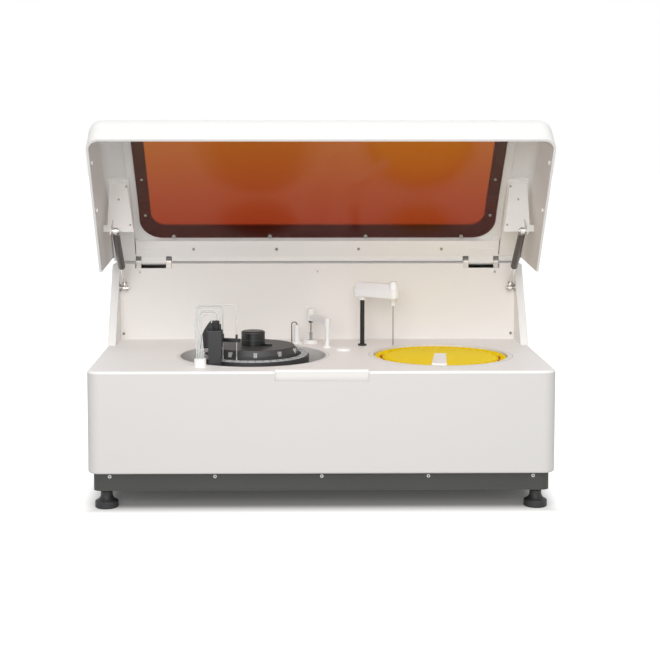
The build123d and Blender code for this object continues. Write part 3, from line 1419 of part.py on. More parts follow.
with BuildPart() as mixer_drive:
    with BuildSketch(Plane.XY.offset(floor_z)):
        with Locations((mixer_x, mixer_y)):
            Circle(mixer_drive_radius)
    extrude(amount=deck_under_z - seat_gap - floor_z)
    with BuildSketch(Plane.XY.offset(floor_z + drive_end)):
        with Locations((mixer_x, mixer_y)):
            Circle(mixer_drive_radius - drive_wall)
    extrude(amount=deck_under_z - seat_gap - floor_z - 2 * drive_end, mode=Mode.SUBTRACT)
    with BuildSketch(Plane.XY.offset(deck_under_z - seat_gap)):
        with Locations((mixer_x, mixer_y)):
            Circle(post_radius + running_gap)
    extrude(amount=-drive_end, mode=Mode.SUBTRACT)
    with BuildSketch(Plane.XZ.offset(-(mixer_y - mixer_drive_radius))):
        with Locations((mixer_x, (floor_z + deck_under_z) / 2)):
            Rectangle(mixer_drive_radius, deck_under_z - floor_z - 4 * drive_end)
    extrude(amount=-mixer_drive_radius, mode=Mode.SUBTRACT)

with BuildPart() as mixer_carriage:
    with BuildSketch(Plane.XY.offset(deck_z - carriage_drop)):
        with Locations((mixer_x, mixer_y)):
            Circle(mixer_drive_radius - drive_wall - seat_gap)
            Circle(post_radius + running_gap, mode=Mode.SUBTRACT)
    extrude(amount=carriage_height)
finish(mixer_carriage.part, "mixer_carriage")

with BuildPart() as mixer_collar:
    with BuildSketch(Plane.XY.offset(deck_z)):
        with Locations((mixer_x, mixer_y)):
            Circle(mixer_collar_radius)
            Circle(post_radius + running_gap, mode=Mode.SUBTRACT)
    extrude(amount=mixer_collar_height)
    with BuildSketch(Plane.XY.offset(deck_z + mixer_collar_height)):
        with Locations((mixer_x, mixer_y)):
            with PolarLocations((mixer_collar_radius + post_radius) / 2, 3, start_angle=30):
                Circle(collar_screw_radius)
    extrude(amount=collar_screw_height)
finish(together(probe_collar.part, mixer_collar.part), "post_collars")

with BuildPart() as mixer_post:
    with BuildSketch(Plane.XY.offset(deck_z - carriage_drop - column_tail)):
        with Locations((mixer_x, mixer_y)):
            Circle(post_radius)
    extrude(amount=mixer_arm_top + carriage_drop + column_tail)
    for low in (-carriage_drop - running_gap - column_flange, carriage_height - carriage_drop + running_gap):
        with BuildSketch(Plane.XY.offset(deck_z + low)):
            with Locations((mixer_x, mixer_y)):
                Circle(2 * post_radius)
        extrude(amount=column_flange)

with BuildPart() as mixer_arm:
    with BuildSketch(Plane.XY.offset(deck_z + mixer_arm_low)):
        with Locations(Location((mixer_x, mixer_y), mixer_angle)):
            with Locations((mixer_reach / 2, 0)):
                SlotCenterToCenter(mixer_reach, mixer_arm_width)
    extrude(amount=mixer_arm_top - mixer_arm_low)
    fillet(mixer_arm.faces().sort_by(Axis.Z)[-1].edges(), mixer_arm_round)
    with BuildSketch(Plane.XY.offset(deck_z + mixer_arm_low)):
        with Locations((mixer_cup_x, mixer_cup_y)):
            Circle(mixer_head_radius)
    extrude(amount=mixer_head_top - mixer_arm_low)
    fillet(mixer_arm.edges().sort_by(Axis.Z)[-1], mixer_arm_round)
    with BuildSketch(Plane.XY.offset(deck_z + mixer_arm_low)):
        with Locations((mixer_x, mixer_y)):
            Circle(post_radius)
        with Locations((mixer_cup_x, mixer_cup_y)):
            Circle(paddle_rod_radius + running_gap)
    extrude(amount=mixer_arm_top - mixer_arm_low, mode=Mode.SUBTRACT)
finish(together(mixer_post.part, mixer_arm.part), "mixer_arm")

with BuildPart() as mixer_paddle:
    with BuildSketch(Plane((mixer_cup_x, mixer_cup_y, deck_z), x_dir=(1, 0, 0), z_dir=(0, -1, 0))):
        with BuildLine():
            Polyline((0, paddle_tip), (paddle_rod_radius, paddle_tip), (paddle_rod_radius, paddle_knob_low),
                     (paddle_knob_radius, paddle_knob_low + 1),
                     (paddle_knob_radius, mixer_arm_low - seat_gap),
                     (paddle_rod_radius, mixer_arm_low - seat_gap), (paddle_rod_radius, mixer_arm_top - 1),
                     (0, mixer_arm_top - 1), close=True)
        make_face()
    revolve(axis=Axis((mixer_cup_x, mixer_cup_y, 0), (0, 0, 1)))
    with BuildSketch(Plane.XY.offset(deck_z + paddle_tip)):
        with Locations((mixer_cup_x, mixer_cup_y)):
            Rectangle(2 * paddle_half, 2 * paddle_sheet)
    extrude(amount=paddle_height)
finish(mixer_paddle.part, "mixer_paddle")

# ================================================================ wash head
guide_wall = 5.0
guide_height = 60.0
wash_stroke = 28.0
wash_head_x = 29.0
wash_head_y = 24.0
wash_head_low = 34.0
wash_head_top = 64.0
wash_head_round = 3.0
wash_circle = 101.2
wash_bar_low = 40.0
wash_bar_sheet = 6.0
wash_bar_half = 5.5
wash_bar_margin = 3.5
wash_needle_count = 4
wash_needle_step = 2 * cuvette_step
wash_needle_tip = 5.5
wash_needle_radius = 0.9
wash_fitting_radius = 2.2
wash_fitting_height = 8.0
wash_link_length = 26.0
wash_link_width = 16.0
prong_radius = 2.2
prongs = [(10.0, -5.0, 76.0), (3.0, 3.0, 82.0), (-6.0, -4.0, 78.0)]    # x, y from the column, top
fin_sheet = 10.0
fin_low = 27.0
fin_top = 79.0
fin_outer = 30.0
fin_bulge_x = 23.0
fin_bulge_z = 58.0
fin_inner = 9.0

with BuildPart() as wash_guide:
    with BuildSketch(Plane.XY.offset(reaction_tub_z)):
        with Locations((wash_x, wash_y)):
            Rectangle(wash_column_x + 2 * guide_wall, wash_column_y + 2 * guide_wall)
            Rectangle(wash_column_x + 2 * running_gap, wash_column_y + 2 * running_gap, mode=Mode.SUBTRACT)
    extrude(amount=-guide_height)
finish(together(probe_drive.part, mixer_drive.part, wash_guide.part), "lift_drives")

bar_sweep = (wash_needle_count - 1) * wash_needle_step + 2 * wash_bar_margin
link_angle = atan2(wash_y - disc_y, wash_x - reaction_x)
link_radius = wash_circle + wash_link_length / 2
with BuildPart() as wash_head:
    with BuildSketch(Plane.XY.offset(reaction_tub_z - guide_height + wash_stroke)):
        with Locations((wash_x, wash_y)):
            Rectangle(wash_column_x, wash_column_y)
    extrude(amount=deck_z + wash_head_low - reaction_tub_z + guide_height - wash_stroke)
    with BuildSketch(Plane.XY.offset(deck_z + wash_head_low)):
        with Locations((wash_x, wash_y)):
            RectangleRounded(wash_head_x, wash_head_y, wash_head_round)
    extrude(amount=wash_head_top - wash_head_low)
    fillet(wash_head.faces().sort_by(Axis.Z)[-1].edges(), wash_head_round / 2)
    # the curved bar over the cuvettes, and its link to the head
    with BuildSketch(Plane((reaction_x, disc_y, deck_z + wash_bar_low))):
        with BuildLine():
            bar_start = cuvette_first + wash_bar_margin
            outer_arc = CenterArc((0, 0), wash_circle + wash_bar_half, bar_start, -bar_sweep)
            inner_arc = CenterArc((0, 0), wash_circle - wash_bar_half, bar_start, -bar_sweep)
            Line(outer_arc @ 0, inner_arc @ 0)
            Line(outer_arc @ 1, inner_arc @ 1)
        make_face()
        with Locations(Location((link_radius * cos(link_angle), link_radius * sin(link_angle), 0),
                                (0, 0, degrees(link_angle)))):
            Rectangle(wash_link_length, wash_link_width)
    extrude(amount=wash_bar_sheet)
    for prong_x, prong_y, prong_top in prongs:
        with BuildSketch(Plane.XY.offset(deck_z + wash_head_top)):
            with Locations((wash_x + prong_x, wash_y + prong_y)):
                Circle(prong_radius)
        extrude(amount=prong_top - wash_head_top)
    # the dark fin behind the column
    with BuildSketch(Plane((wash_x, wash_y + wash_head_y / 2, deck_z), x_dir=(-1, 0, 0), z_dir=(0, 1, 0))):
        with BuildLine():
            ThreePointArc((fin_outer, fin_low), (fin_bulge_x, fin_bulge_z), (fin_inner, fin_top))
            Polyline((fin_inner, fin_top), (-fin_inner, fin_top), (-fin_inner, wash_head_low),
                     (fin_inner, wash_head_low), (fin_inner, fin_low), (fin_outer, fin_low))
        make_face()
    extrude(amount=fin_sheet)
finish(wash_head.part, "wash_head")

with BuildPart() as wash_needles:
    for number in range(wash_needle_count):
        angle = radians(cuvette_first - number * wash_needle_step)
        x = reaction_x + wash_circle * cos(angle)
        y = disc_y + wash_circle * sin(angle)
        with BuildSketch(Plane.XY.offset(deck_z + wash_needle_tip)):
            with Locations((x, y)):
                Circle(wash_needle_radius)
        extrude(amount=wash_bar_low - wash_needle_tip)
        with BuildSketch(Plane.XY.offset(deck_z + wash_bar_low + wash_bar_sheet)):
            with Locations((x, y)):
                Circle(wash_fitting_radius)
        extrude(amount=wash_fitting_height)
finish(wash_needles.part, "wash_needles")

gland_radius = 11.3
gland_height = 15.0
gland_round = 2.0
gland_depth = 12.0
with BuildPart() as tube_gland:
    with BuildSketch(Plane.XY.offset(deck_z)):
        with Locations((gland_x, gland_y)):
            Circle(gland_radius)
    extrude(amount=gland_height)
    fillet(tube_gland.edges().sort_by(Axis.Z)[-1], gland_round)
    with BuildSketch(Plane.XY.offset(deck_z)):
        with Locations((gland_x, gland_y)):
            Circle(gland_spigot)
    extrude(amount=-gland_depth)
finish(tube_gland.part, "tube_gland")

# thin tubes from the gland, each in its own arch, to the fittings on the head and on the bar
tube_radius = 1.15
tube_pitch = 3.0
tube_rise = 110.0
tube_rise_step = 4.0
tube_first_run = 12.0
tube_lean = (-4.0, 4.0, 55.0)
tube_bend = 6.5
tube_ends = []
for number in range(2):
    angle = radians(cuvette_first - number * wash_needle_step)
    tube_ends.append((reaction_x + wash_circle * cos(angle), disc_y + wash_circle * sin(angle),
                      wash_bar_low + wash_bar_sheet + wash_fitting_height))
for prong_x, prong_y, prong_top in prongs:
    tube_ends.append((wash_x + prong_x, wash_y + prong_y, prong_top))
with BuildPart() as wash_tubes:
    for number, (end_x, end_y, end_height) in enumerate(tube_ends):
        x = gland_x + tube_pitch * (number - (len(tube_ends) - 1) / 2)
        top_z = deck_z + tube_rise - tube_rise_step * number
        foot = (x, gland_y, deck_z + gland_height)
        turn = (x + tube_lean[0], gland_y + tube_lean[1], foot[2] + tube_lean[2])
        with BuildLine() as route:
            FilletPolyline(foot, (x, gland_y, foot[2] + tube_first_run), turn, (turn[0], end_y, top_z),
                           (end_x, end_y, top_z), (end_x, end_y, deck_z + end_height), radius=tube_bend)
        with BuildSketch(Plane(foot)):
            Circle(tube_radius)
        sweep(path=route.line)
finish(wash_tubes.part, "wash_tubes")

# ================================================================ rear fittings
fan_size = 119.0
fan_depth = 25.0
fan_bore = 57.0
fan_corner = 6.0
fan_hub_radius = 20.0
fan_strut_width = 6.0
fan_strut_depth = 4.0
fan_pin_radius = 3.0
fan_blade_count = 7
fan_blade_tip = 54.0
fan_blade_pitch = 35.0
fan_blade_chord = 18.0
fan_blade_sheet = 1.8
fan_blade_root = 12.0
fan_front_y = rear_inner_y - fan_depth
with BuildPart() as fan_frame:
    with BuildSketch(Plane((vent_x, rear_inner_y, vent_z), x_dir=(1, 0, 0), z_dir=(0, -1, 0))):
        RectangleRounded(fan_size, fan_size, fan_corner)
        Circle(fan_bore, mode=Mode.SUBTRACT)
    extrude(amount=fan_depth)
    with BuildSketch(Plane((vent_x, fan_front_y, vent_z), x_dir=(1, 0, 0), z_dir=(0, 1, 0))):
        Circle(fan_hub_radius)
        Rectangle(2 * fan_bore + 2, fan_strut_width)
        Rectangle(fan_strut_width, 2 * fan_bore + 2)
    extrude(amount=fan_strut_depth)
    with BuildSketch(Plane((vent_x, fan_front_y, vent_z), x_dir=(1, 0, 0), z_dir=(0, 1, 0))):
        Circle(fan_pin_radius)
    extrude(amount=fan_depth - fan_strut_depth)
finish(fan_frame.part, "fan_frame")

with BuildPart() as fan_rotor:
    fan_axis = Plane((vent_x, fan_front_y + fan_strut_depth + seat_gap, vent_z), x_dir=(1, 0, 0),
                     z_dir=(0, 1, 0))
    rotor_depth = fan_depth - fan_strut_depth - 4 * seat_gap
    with BuildSketch(fan_axis):
        Circle(fan_hub_radius)
    extrude(amount=rotor_depth)
    for number in range(fan_blade_count):
        turn = radians(360 * number / fan_blade_count)
        outward = Vector(cos(turn), 0, sin(turn))
        along = Vector(0, 1, 0)
        chord = along * cos(radians(fan_blade_pitch)) + along.cross(outward) * sin(radians(fan_blade_pitch))
        root = fan_axis.origin + along * (rotor_depth / 2) + outward * fan_blade_root
        with BuildSketch(Plane(origin=root, x_dir=chord, z_dir=outward)):
            Rectangle(fan_blade_chord, fan_blade_sheet)
        extrude(amount=fan_blade_tip - fan_blade_root)
    with BuildSketch(fan_axis):
        Circle(fan_pin_radius + running_gap)
    extrude(amount=rotor_depth, mode=Mode.SUBTRACT)
finish(fan_rotor.part, "fan_rotor")

inlet_depth = 22.0
inlet_wall = 2.5
inlet_flange = 5.0
inlet_flange_sheet = 2.0
blade_width = 2.0
blade_height = 4.0
blade_length = 16.0
blade_spread = 7.0
switch_depth = 16.0
rocker_drop = 10.0
rocker_tilt = 8.0
rocker_half = 10.4
rocker_front = 7.0
rocker_back = 2.8
rocker_pin_radius = 1.5
rocker_pin_length = 4.0
with BuildPart() as power_inlet:
    for x, width, height, depth in ((inlet_x, inlet_width, inlet_height, inlet_depth),
                                    (switch_x, switch_width, switch_height, switch_depth)):
        with BuildSketch(Plane((x, back_y, inlet_z), x_dir=(1, 0, 0), z_dir=(0, -1, 0))):
            Rectangle(width, height)
        extrude(amount=depth)
        with BuildSketch(Plane((x, rear_inner_y, inlet_z), x_dir=(1, 0, 0), z_dir=(0, -1, 0))):
            Rectangle(width + 2 * inlet_flange, height + 2 * inlet_flange)
        extrude(amount=inlet_flange_sheet)
        with BuildSketch(Plane((x, back_y, inlet_z), x_dir=(1, 0, 0), z_dir=(0, -1, 0))):
            Rectangle(width - 2 * inlet_wall, height - 2 * inlet_wall)
        extrude(amount=depth - inlet_wall, mode=Mode.SUBTRACT)
    with BuildSketch(Plane((inlet_x, back_y - inlet_depth + inlet_wall, inlet_z + blade_height),
                           x_dir=(1, 0, 0), z_dir=(0, 1, 0))):
        with GridLocations(blade_spread, 1, 3, 1):
            Rectangle(blade_width, blade_height)
    extrude(amount=blade_length)
    for end in (-1, 1):
        pin_x = switch_x + end * (switch_width / 2 - inlet_wall)
        with BuildSketch(across(pin_x, back_y - rocker_drop, inlet_z)):
            Circle(rocker_pin_radius)
        extrude(amount=-end * rocker_pin_length)
finish(power_inlet.part, "power_inlet")

rocker_width = switch_width - 2 * inlet_wall - 2 * seat_gap
off_tilt = radians(rocker_tilt)
with BuildPart() as power_switch:
    with BuildSketch(Plane(origin=(switch_x - rocker_width / 2, back_y - rocker_drop, inlet_z),
                           x_dir=(0, cos(off_tilt), sin(off_tilt)), z_dir=(1, 0, 0))):
        with BuildLine():
            Polyline((-rocker_back, 0), (0, -rocker_half), (rocker_front, -rocker_half),
                     (rocker_front - 1, 0),
                     (rocker_front, rocker_half), (0, rocker_half), close=True)
        make_face()
        Circle(rocker_pin_radius + running_gap, mode=Mode.SUBTRACT)
    extrude(amount=rocker_width)
finish(power_switch.part, "power_switch")

port_bore = 3.2
port_depth = 14.0
port_nut_flats = 18.0
port_nut_height = 5.0
with BuildPart() as fluid_ports:
    for x in port_x:
        with BuildSketch(Plane((x, back_y, port_z), x_dir=(1, 0, 0), z_dir=(0, -1, 0))):
            Circle(port_radius)
        extrude(amount=port_depth)
        with BuildSketch(Plane((x, rear_inner_y, port_z), x_dir=(1, 0, 0), z_dir=(0, -1, 0))):
            RegularPolygon(port_nut_flats / 2, 6, major_radius=False)
        extrude(amount=port_nut_height)
        with BuildSketch(Plane((x, back_y, port_z), x_dir=(1, 0, 0), z_dir=(0, -1, 0))):
            Circle(port_bore)
        extrude(amount=port_depth, mode=Mode.SUBTRACT)
finish(fluid_ports.part, "fluid_ports")

# ================================================================ electronics and pumps on the base
supply_size = (190.0, 100.0, 65.0)
side_gap = 17.0             # between the base's wall and what stands beside it
base_inner_x = base_width / 2 - base_wall
base_inner_y = base_depth / 2 - base_wall
supply_rear_gap = 67.0
supply_x = side_gap + supply_size[0] / 2 - base_inner_x
supply_y = base_inner_y - supply_rear_gap - supply_size[1] / 2
supply_sheet = 1.5
supply_slots = 9
supply_pitch = 16.0
with BuildPart() as power_supply:
    with BuildSketch(Plane.XY.offset(floor_z)):
        with Locations((supply_x, supply_y)):
            Rectangle(supply_size[0], supply_size[1])
    extrude(amount=supply_size[2])
    with BuildSketch(Plane.XY.offset(floor_z + supply_sheet)):
        with Locations((supply_x, supply_y)):
            Rectangle(supply_size[0] - 2 * supply_sheet, supply_size[1] - 2 * supply_sheet)
    extrude(amount=supply_size[2] - 2 * supply_sheet, mode=Mode.SUBTRACT)
    with BuildSketch(Plane.XY.offset(floor_z + supply_size[2] - supply_sheet)):
        with Locations((supply_x, supply_y)):
            with GridLocations(supply_pitch, 1, supply_slots, 1):
                Rectangle(supply_pitch / 3, supply_size[1] / 2)
    extrude(amount=supply_sheet, mode=Mode.SUBTRACT)
finish(power_supply.part, "power_supply")

board_x = 70.0
board_rear_gap = 37.0
board_width = 240.0
board_length = 140.0
board_y = base_inner_y - board_rear_gap - board_length / 2
board_sheet = 1.6
board_lift = 12.0
board_inset = 8.0
standoff_radius = 3.0
chip_size = 22.0
chip_height = 4.0
can_radius = 6.0
can_height = 22.0
board_top = floor_z + board_lift + board_sheet
with BuildPart() as main_board:
    with BuildSketch(Plane.XY.offset(floor_z + board_lift)):
        with Locations((board_x, board_y)):
            Rectangle(board_width, board_length)
    extrude(amount=board_sheet)
    with BuildSketch(Plane.XY.offset(floor_z)):
        with Locations((board_x, board_y)):
            with GridLocations(board_width - 2 * board_inset, board_length - 2 * board_inset, 2, 2):
                Circle(standoff_radius)
    extrude(amount=board_lift)
    with BuildSketch(Plane.XY.offset(board_top)):
        with Locations((board_x, board_y - board_length / 6)):
            with GridLocations(1.8 * chip_size, 1.6 * chip_size, 5, 2):
                Rectangle(chip_size, chip_size)
    extrude(amount=chip_height)
    with BuildSketch(Plane.XY.offset(board_top)):
        with Locations((board_x, board_y + board_length / 3)):
            with GridLocations(3 * can_radius, 1, 8, 1):
                Circle(can_radius)
    extrude(amount=can_height)
finish(main_board.part, "main_board")

syringe_front = 150.0
syringe_y = front_y + syringe_front
syringe_base = (50.0, 60.0, 70.0)
syringe_x = side_gap + syringe_base[0] / 2 - base_inner_x
barrel_radius = 11.0
barrel_wall = 2.0
barrel_height = 62.0
barrel_end = 4.0
barrel_port = 1.5
plunger_travel = 30.0
plunger_rod_radius = 3.0
piston_height = 8.0
with BuildPart() as syringe_pump:
    with BuildSketch(Plane.XY.offset(floor_z)):
        with Locations((syringe_x, syringe_y)):
            Rectangle(syringe_base[0], syringe_base[1])
    extrude(amount=syringe_base[2])
    with BuildSketch(Plane.XY.offset(floor_z + syringe_base[2])):
        with Locations((syringe_x, syringe_y)):
            Circle(barrel_radius)
    extrude(amount=barrel_height)
    with BuildSketch(Plane.XY.offset(floor_z + syringe_base[2])):
        with Locations((syringe_x, syringe_y)):
            Circle(barrel_radius - barrel_wall)
    extrude(amount=barrel_height - barrel_end, mode=Mode.SUBTRACT)
    with BuildSketch(Plane.XY.offset(floor_z + syringe_base[2] + barrel_height)):
        with Locations((syringe_x, syringe_y)):
            Circle(barrel_port)
    extrude(amount=-barrel_end, mode=Mode.SUBTRACT)
    with BuildSketch(Plane.XY.offset(floor_z + syringe_base[2])):
        with Locations((syringe_x, syringe_y)):
            Circle(plunger_rod_radius + running_gap)
    extrude(amount=-syringe_base[2] + barrel_end, mode=Mode.SUBTRACT)

with BuildPart() as syringe_plunger:
    with BuildSketch(Plane.XY.offset(floor_z + syringe_base[2] + seat_gap)):
        with Locations((syringe_x, syringe_y)):
            Circle(barrel_radius - barrel_wall - running_gap)
    extrude(amount=piston_height)
    with BuildSketch(Plane.XY.offset(floor_z + syringe_base[2] + seat_gap)):
        with Locations((syringe_x, syringe_y)):
            Circle(plunger_rod_radius)
    extrude(amount=-plunger_travel - barrel_end)
finish(syringe_plunger.part, "syringe_plunger")

pump_side_gap = 61.0
pump_rear_gap = 100.0
pump_radius = 24.0
pump_length = 60.0
pump_head_width = 54.0
pump_head_depth = 26.0
pump_x = base_inner_x - pump_side_gap - pump_head_depth
pump_y = base_inner_y - pump_rear_gap - pump_head_width / 2
pump_nozzle_radius = 4.0
pump_nozzle_length = 10.0
pump_z = floor_z + pump_head_width / 2
with BuildPart() as fluid_pump:
    with BuildSketch(Plane((pump_x, pump_y, pump_z), x_dir=(0, 1, 0), z_dir=(1, 0, 0))):
        Rectangle(pump_head_width, pump_head_width)
    extrude(amount=pump_head_depth)
    with BuildSketch(Plane((pump_x, pump_y, pump_z), x_dir=(0, 1, 0), z_dir=(1, 0, 0))):
        Circle(pump_radius)
    extrude(amount=-pump_length)
    with BuildSketch(Plane.XY.offset(floor_z + pump_head_width)):
        with Locations((pump_x + pump_head_depth / 2, pump_y)):
            with GridLocations(1, pump_head_width / 2, 1, 2):
                Circle(pump_nozzle_radius)
    extrude(amount=pump_nozzle_length)
finish(together(syringe_pump.part, fluid_pump.part), "pumps")

lamp_gap = 10.0             # to the base's lip
lamp_front = 345.0
lamp_y = front_y + lamp_front
lamp_size = (64.0, 60.0, 92.0)
lamp_fins = 7
lamp_fin_pitch = 8.0
lamp_fin_width = 3.0
lamp_fin_depth = 12.0
lamp_x = base_lip + lamp_gap + lamp_fin_depth + lamp_size[0] / 2 - base_width / 2
lamp_window_radius = 9.0
with BuildPart() as lamp_house:
    with BuildSketch(Plane.XY.offset(floor_z)):
        with Locations((lamp_x, lamp_y)):
            Rectangle(lamp_size[0], lamp_size[1])
        with Locations((lamp_x - lamp_size[0] / 2 - lamp_fin_depth / 2, lamp_y)):
            with GridLocations(1, lamp_fin_pitch, 1, lamp_fins):
                Rectangle(lamp_fin_depth, lamp_fin_width)
    extrude(amount=lamp_size[2])
    with BuildSketch(across(lamp_x + lamp_size[0] / 2, lamp_y, floor_z + lamp_size[2] / 2)):
        Circle(lamp_window_radius)
    extrude(amount=-lamp_size[0] / 2, mode=Mode.SUBTRACT)
finish(lamp_house.part, "lamp_house")
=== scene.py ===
"""Benchtop chemistry analyzer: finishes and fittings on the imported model."""
import math

import bmesh
import bpy
from mathutils import Matrix, Vector


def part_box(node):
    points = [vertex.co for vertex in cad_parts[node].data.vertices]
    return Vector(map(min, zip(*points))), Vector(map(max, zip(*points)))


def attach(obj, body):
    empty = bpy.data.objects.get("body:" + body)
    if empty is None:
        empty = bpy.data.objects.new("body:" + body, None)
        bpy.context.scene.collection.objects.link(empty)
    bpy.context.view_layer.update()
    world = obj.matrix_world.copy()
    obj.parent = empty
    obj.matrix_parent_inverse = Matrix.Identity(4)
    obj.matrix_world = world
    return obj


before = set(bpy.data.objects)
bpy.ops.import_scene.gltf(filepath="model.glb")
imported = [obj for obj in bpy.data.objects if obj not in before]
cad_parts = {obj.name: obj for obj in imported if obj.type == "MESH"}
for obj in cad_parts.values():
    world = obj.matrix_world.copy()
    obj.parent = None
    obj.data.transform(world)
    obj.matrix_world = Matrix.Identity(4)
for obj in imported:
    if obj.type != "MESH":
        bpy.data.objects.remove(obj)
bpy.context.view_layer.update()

# ---------------------------------------------------------------- view, light and bench top
# A still life on a white bench top in a white room, seen from the front and from a little above. One broad
# lamp hangs over the hood. The other stands far behind the viewer, low enough to reach under the open hood.
looks_down = math.radians(4.6289)
looks_right = math.radians(0.7143)
eye = bpy.data.cameras.new("front_view")
eye.lens = 76.96
eye.shift_x = 0.035
eye.shift_y = -0.125
eye.clip_end = 50.0
viewer = bpy.data.objects.new("front_view", eye)
viewer.location = (-0.05917, -2.85054, 0.69027)
viewer.rotation_euler = (math.pi / 2 - looks_down, 0, -looks_right)
bpy.context.scene.collection.objects.link(viewer)
bpy.context.scene.camera = viewer
bpy.context.scene.view_settings.view_transform = "Standard"


def feed(tree, socket, given):
    """Gives a socket a value of its own, or links it to another node's output."""
    if isinstance(given, bpy.types.NodeSocket):
        tree.links.new(given, socket)
    else:
        socket.default_value = given


def added(tree, kind, given=(), group=None):
    """Adds a node to a tree, with what its named inputs are given, and the group that it shows."""
    node = tree.nodes.new(kind)
    if group:
        node.node_tree = group
    for socket_name, value in dict(given).items():
        feed(tree, node.inputs[socket_name], value)
    return node


def worked_out(tree, operation, *terms, kind="Math"):
    """Adds a Math or VectorMath node for some values or outputs, and gives its own output."""
    node = added(tree, "ShaderNode" + kind)
    node.operation = operation
    for socket, term in zip(node.inputs, terms):
        feed(tree, socket, term)
    return node.outputs[0]


def shown(tree):
    """Is 1 for the rays that show a surface: straight, in a reflection, or through the tinted pane."""
    ray = added(tree, "ShaderNodeLightPath")
    in_view = worked_out(tree, "MAXIMUM", ray.outputs["Is Camera Ray"], ray.outputs["Is Glossy Ray"])
    return worked_out(tree, "MAXIMUM", in_view, ray.outputs["Is Transmission Ray"])


room_light = 0.37
room_white = 1.0
room = bpy.data.worlds.new("white_room")
bpy.context.scene.world = room
room.use_nodes = True
room.node_tree.nodes.clear()
room_lit, room_seen = (
    added(room.node_tree, "ShaderNodeBackground", {"Color": (1, 1, 1, 1), "Strength": strength}).outputs[0]
    for strength in (room_light, room_white))
room_mix = added(room.node_tree, "ShaderNodeMixShader", {
    0: shown(room.node_tree), 1: room_lit, 2: room_seen})
added(room.node_tree, "ShaderNodeOutputWorld", {"Surface": room_mix.outputs[0]})

for lamp_name, place, aim, size, power in (
        ("hood_lamp", (0.1, -1.9, 2.8), (0, -0.2, 0.3), 2.0, 42.0),
        ("front_lamp", (-0.5, -5.2, 1.9), (0, 0, 0.36), 3.0, 110.0)):
    lamp = bpy.data.lights.new(lamp_name, "AREA")
    lamp.shape = "DISK"
    lamp.size = size
    lamp.energy = power
    lamp_stand = bpy.data.objects.new(lamp_name, lamp)
    lamp_stand.location = place
    lamp_stand.rotation_euler = (Vector(aim) - Vector(place)).to_track_quat("-Z", "Y").to_euler()
    bpy.context.scene.collection.objects.link(lamp_stand)

bench_half = 20.0
bench_shape = bmesh.new()
bmesh.ops.create_grid(bench_shape, x_segments=1, y_segments=1, size=bench_half)
bench_data = bpy.data.meshes.new("bench_top")
bench_shape.to_mesh(bench_data)
bench_shape.free()
bench = bpy.data.objects.new("bench_top", bench_data)
bpy.context.scene.collection.objects.link(bench)


def new_finish(name):
    """Starts a material, and gives it with its node tree and its shader."""
    finish = bpy.data.materials.new(name)
    finish.use_nodes = True
    return finish, finish.node_tree, finish.node_tree.nodes["Principled BSDF"]


# The bench top shows as white from just outside the feet, and keeps the shadow under the analyzer.
shadow_half = (0.385, 0.27, 0.0)
white_after = 0.09
bench_white, bench_tree, bench_shader = new_finish("bench_white")
bench_shader.inputs["Base Color"].default_value = (0.62, 0.61, 0.60, 1)
bench_shader.inputs["Roughness"].default_value = 0.9
bench_shader.inputs["Specular IOR Level"].default_value = 0.0
bench_place = added(bench_tree, "ShaderNodeTexCoord").outputs["Object"]
from_middle = worked_out(bench_tree, "ABSOLUTE", bench_place, kind="VectorMath")
from_shadow = worked_out(bench_tree, "SUBTRACT", from_middle, shadow_half, kind="VectorMath")
away = added(bench_tree, "ShaderNodeSeparateXYZ", {"Vector": from_shadow}).outputs
whitening = added(bench_tree, "ShaderNodeMapRange", {
    "Value": worked_out(bench_tree, "MAXIMUM", away["X"], away["Y"]),
    "From Min": 0.0, "From Max": white_after, "To Min": 0.05, "To Max": 0.9})
whitening.interpolation_type = "SMOOTHSTEP"
bench_glow = added(bench_tree, "ShaderNodeEmission", {
    "Strength": worked_out(bench_tree, "MULTIPLY", shown(bench_tree), whitening.outputs["Result"])})
bench_sum = added(bench_tree, "ShaderNodeAddShader", {0: bench_shader.outputs[0], 1: bench_glow.outputs[0]})
feed(bench_tree, bench_tree.nodes["Material Output"].inputs["Surface"], bench_sum.outputs[0])
bench_data.materials.append(bench_white)

# ---------------------------------------------------------------- base frame
# A tray of folded sheet steel in dark textured powder coat. It stands on the feet and carries everything,
# and the case closes down over its lip.


def new_group(name, takes, gives):
    """Starts a node group, and gives it with what comes into it and where it goes out."""
    group = bpy.data.node_groups.new(name, "ShaderNodeTree")
    for socket_name, kind, value in takes:
        socket = group.interface.new_socket(socket_name, in_out="INPUT", socket_type="NodeSocket" + kind)
        socket.default_value = value
    for socket_name, kind in gives:
        group.interface.new_socket(socket_name, in_out="OUTPUT", socket_type="NodeSocket" + kind)
    return group, added(group, "NodeGroupInput").outputs, added(group, "NodeGroupOutput").inputs


def blended(tree, factor, first, second, kind="RGBA"):
    """Adds a Mix node from a first colour or number to a second, and gives its result."""
    node = added(tree, "ShaderNodeMix")
    node.data_type = kind
    for socket_name, given in (("Factor", factor), ("A", first), ("B", second)):
        feed(tree, node.inputs[socket_name], given)
    return node.outputs["Result"]


def noise(tree, place, scale, detail=2.0):
    """Adds a Noise Texture, and gives its grey value."""
    cloud = added(tree, "ShaderNodeTexNoise", {"Vector": place, "Scale": scale, "Detail": detail})
    return cloud.outputs["Fac"]


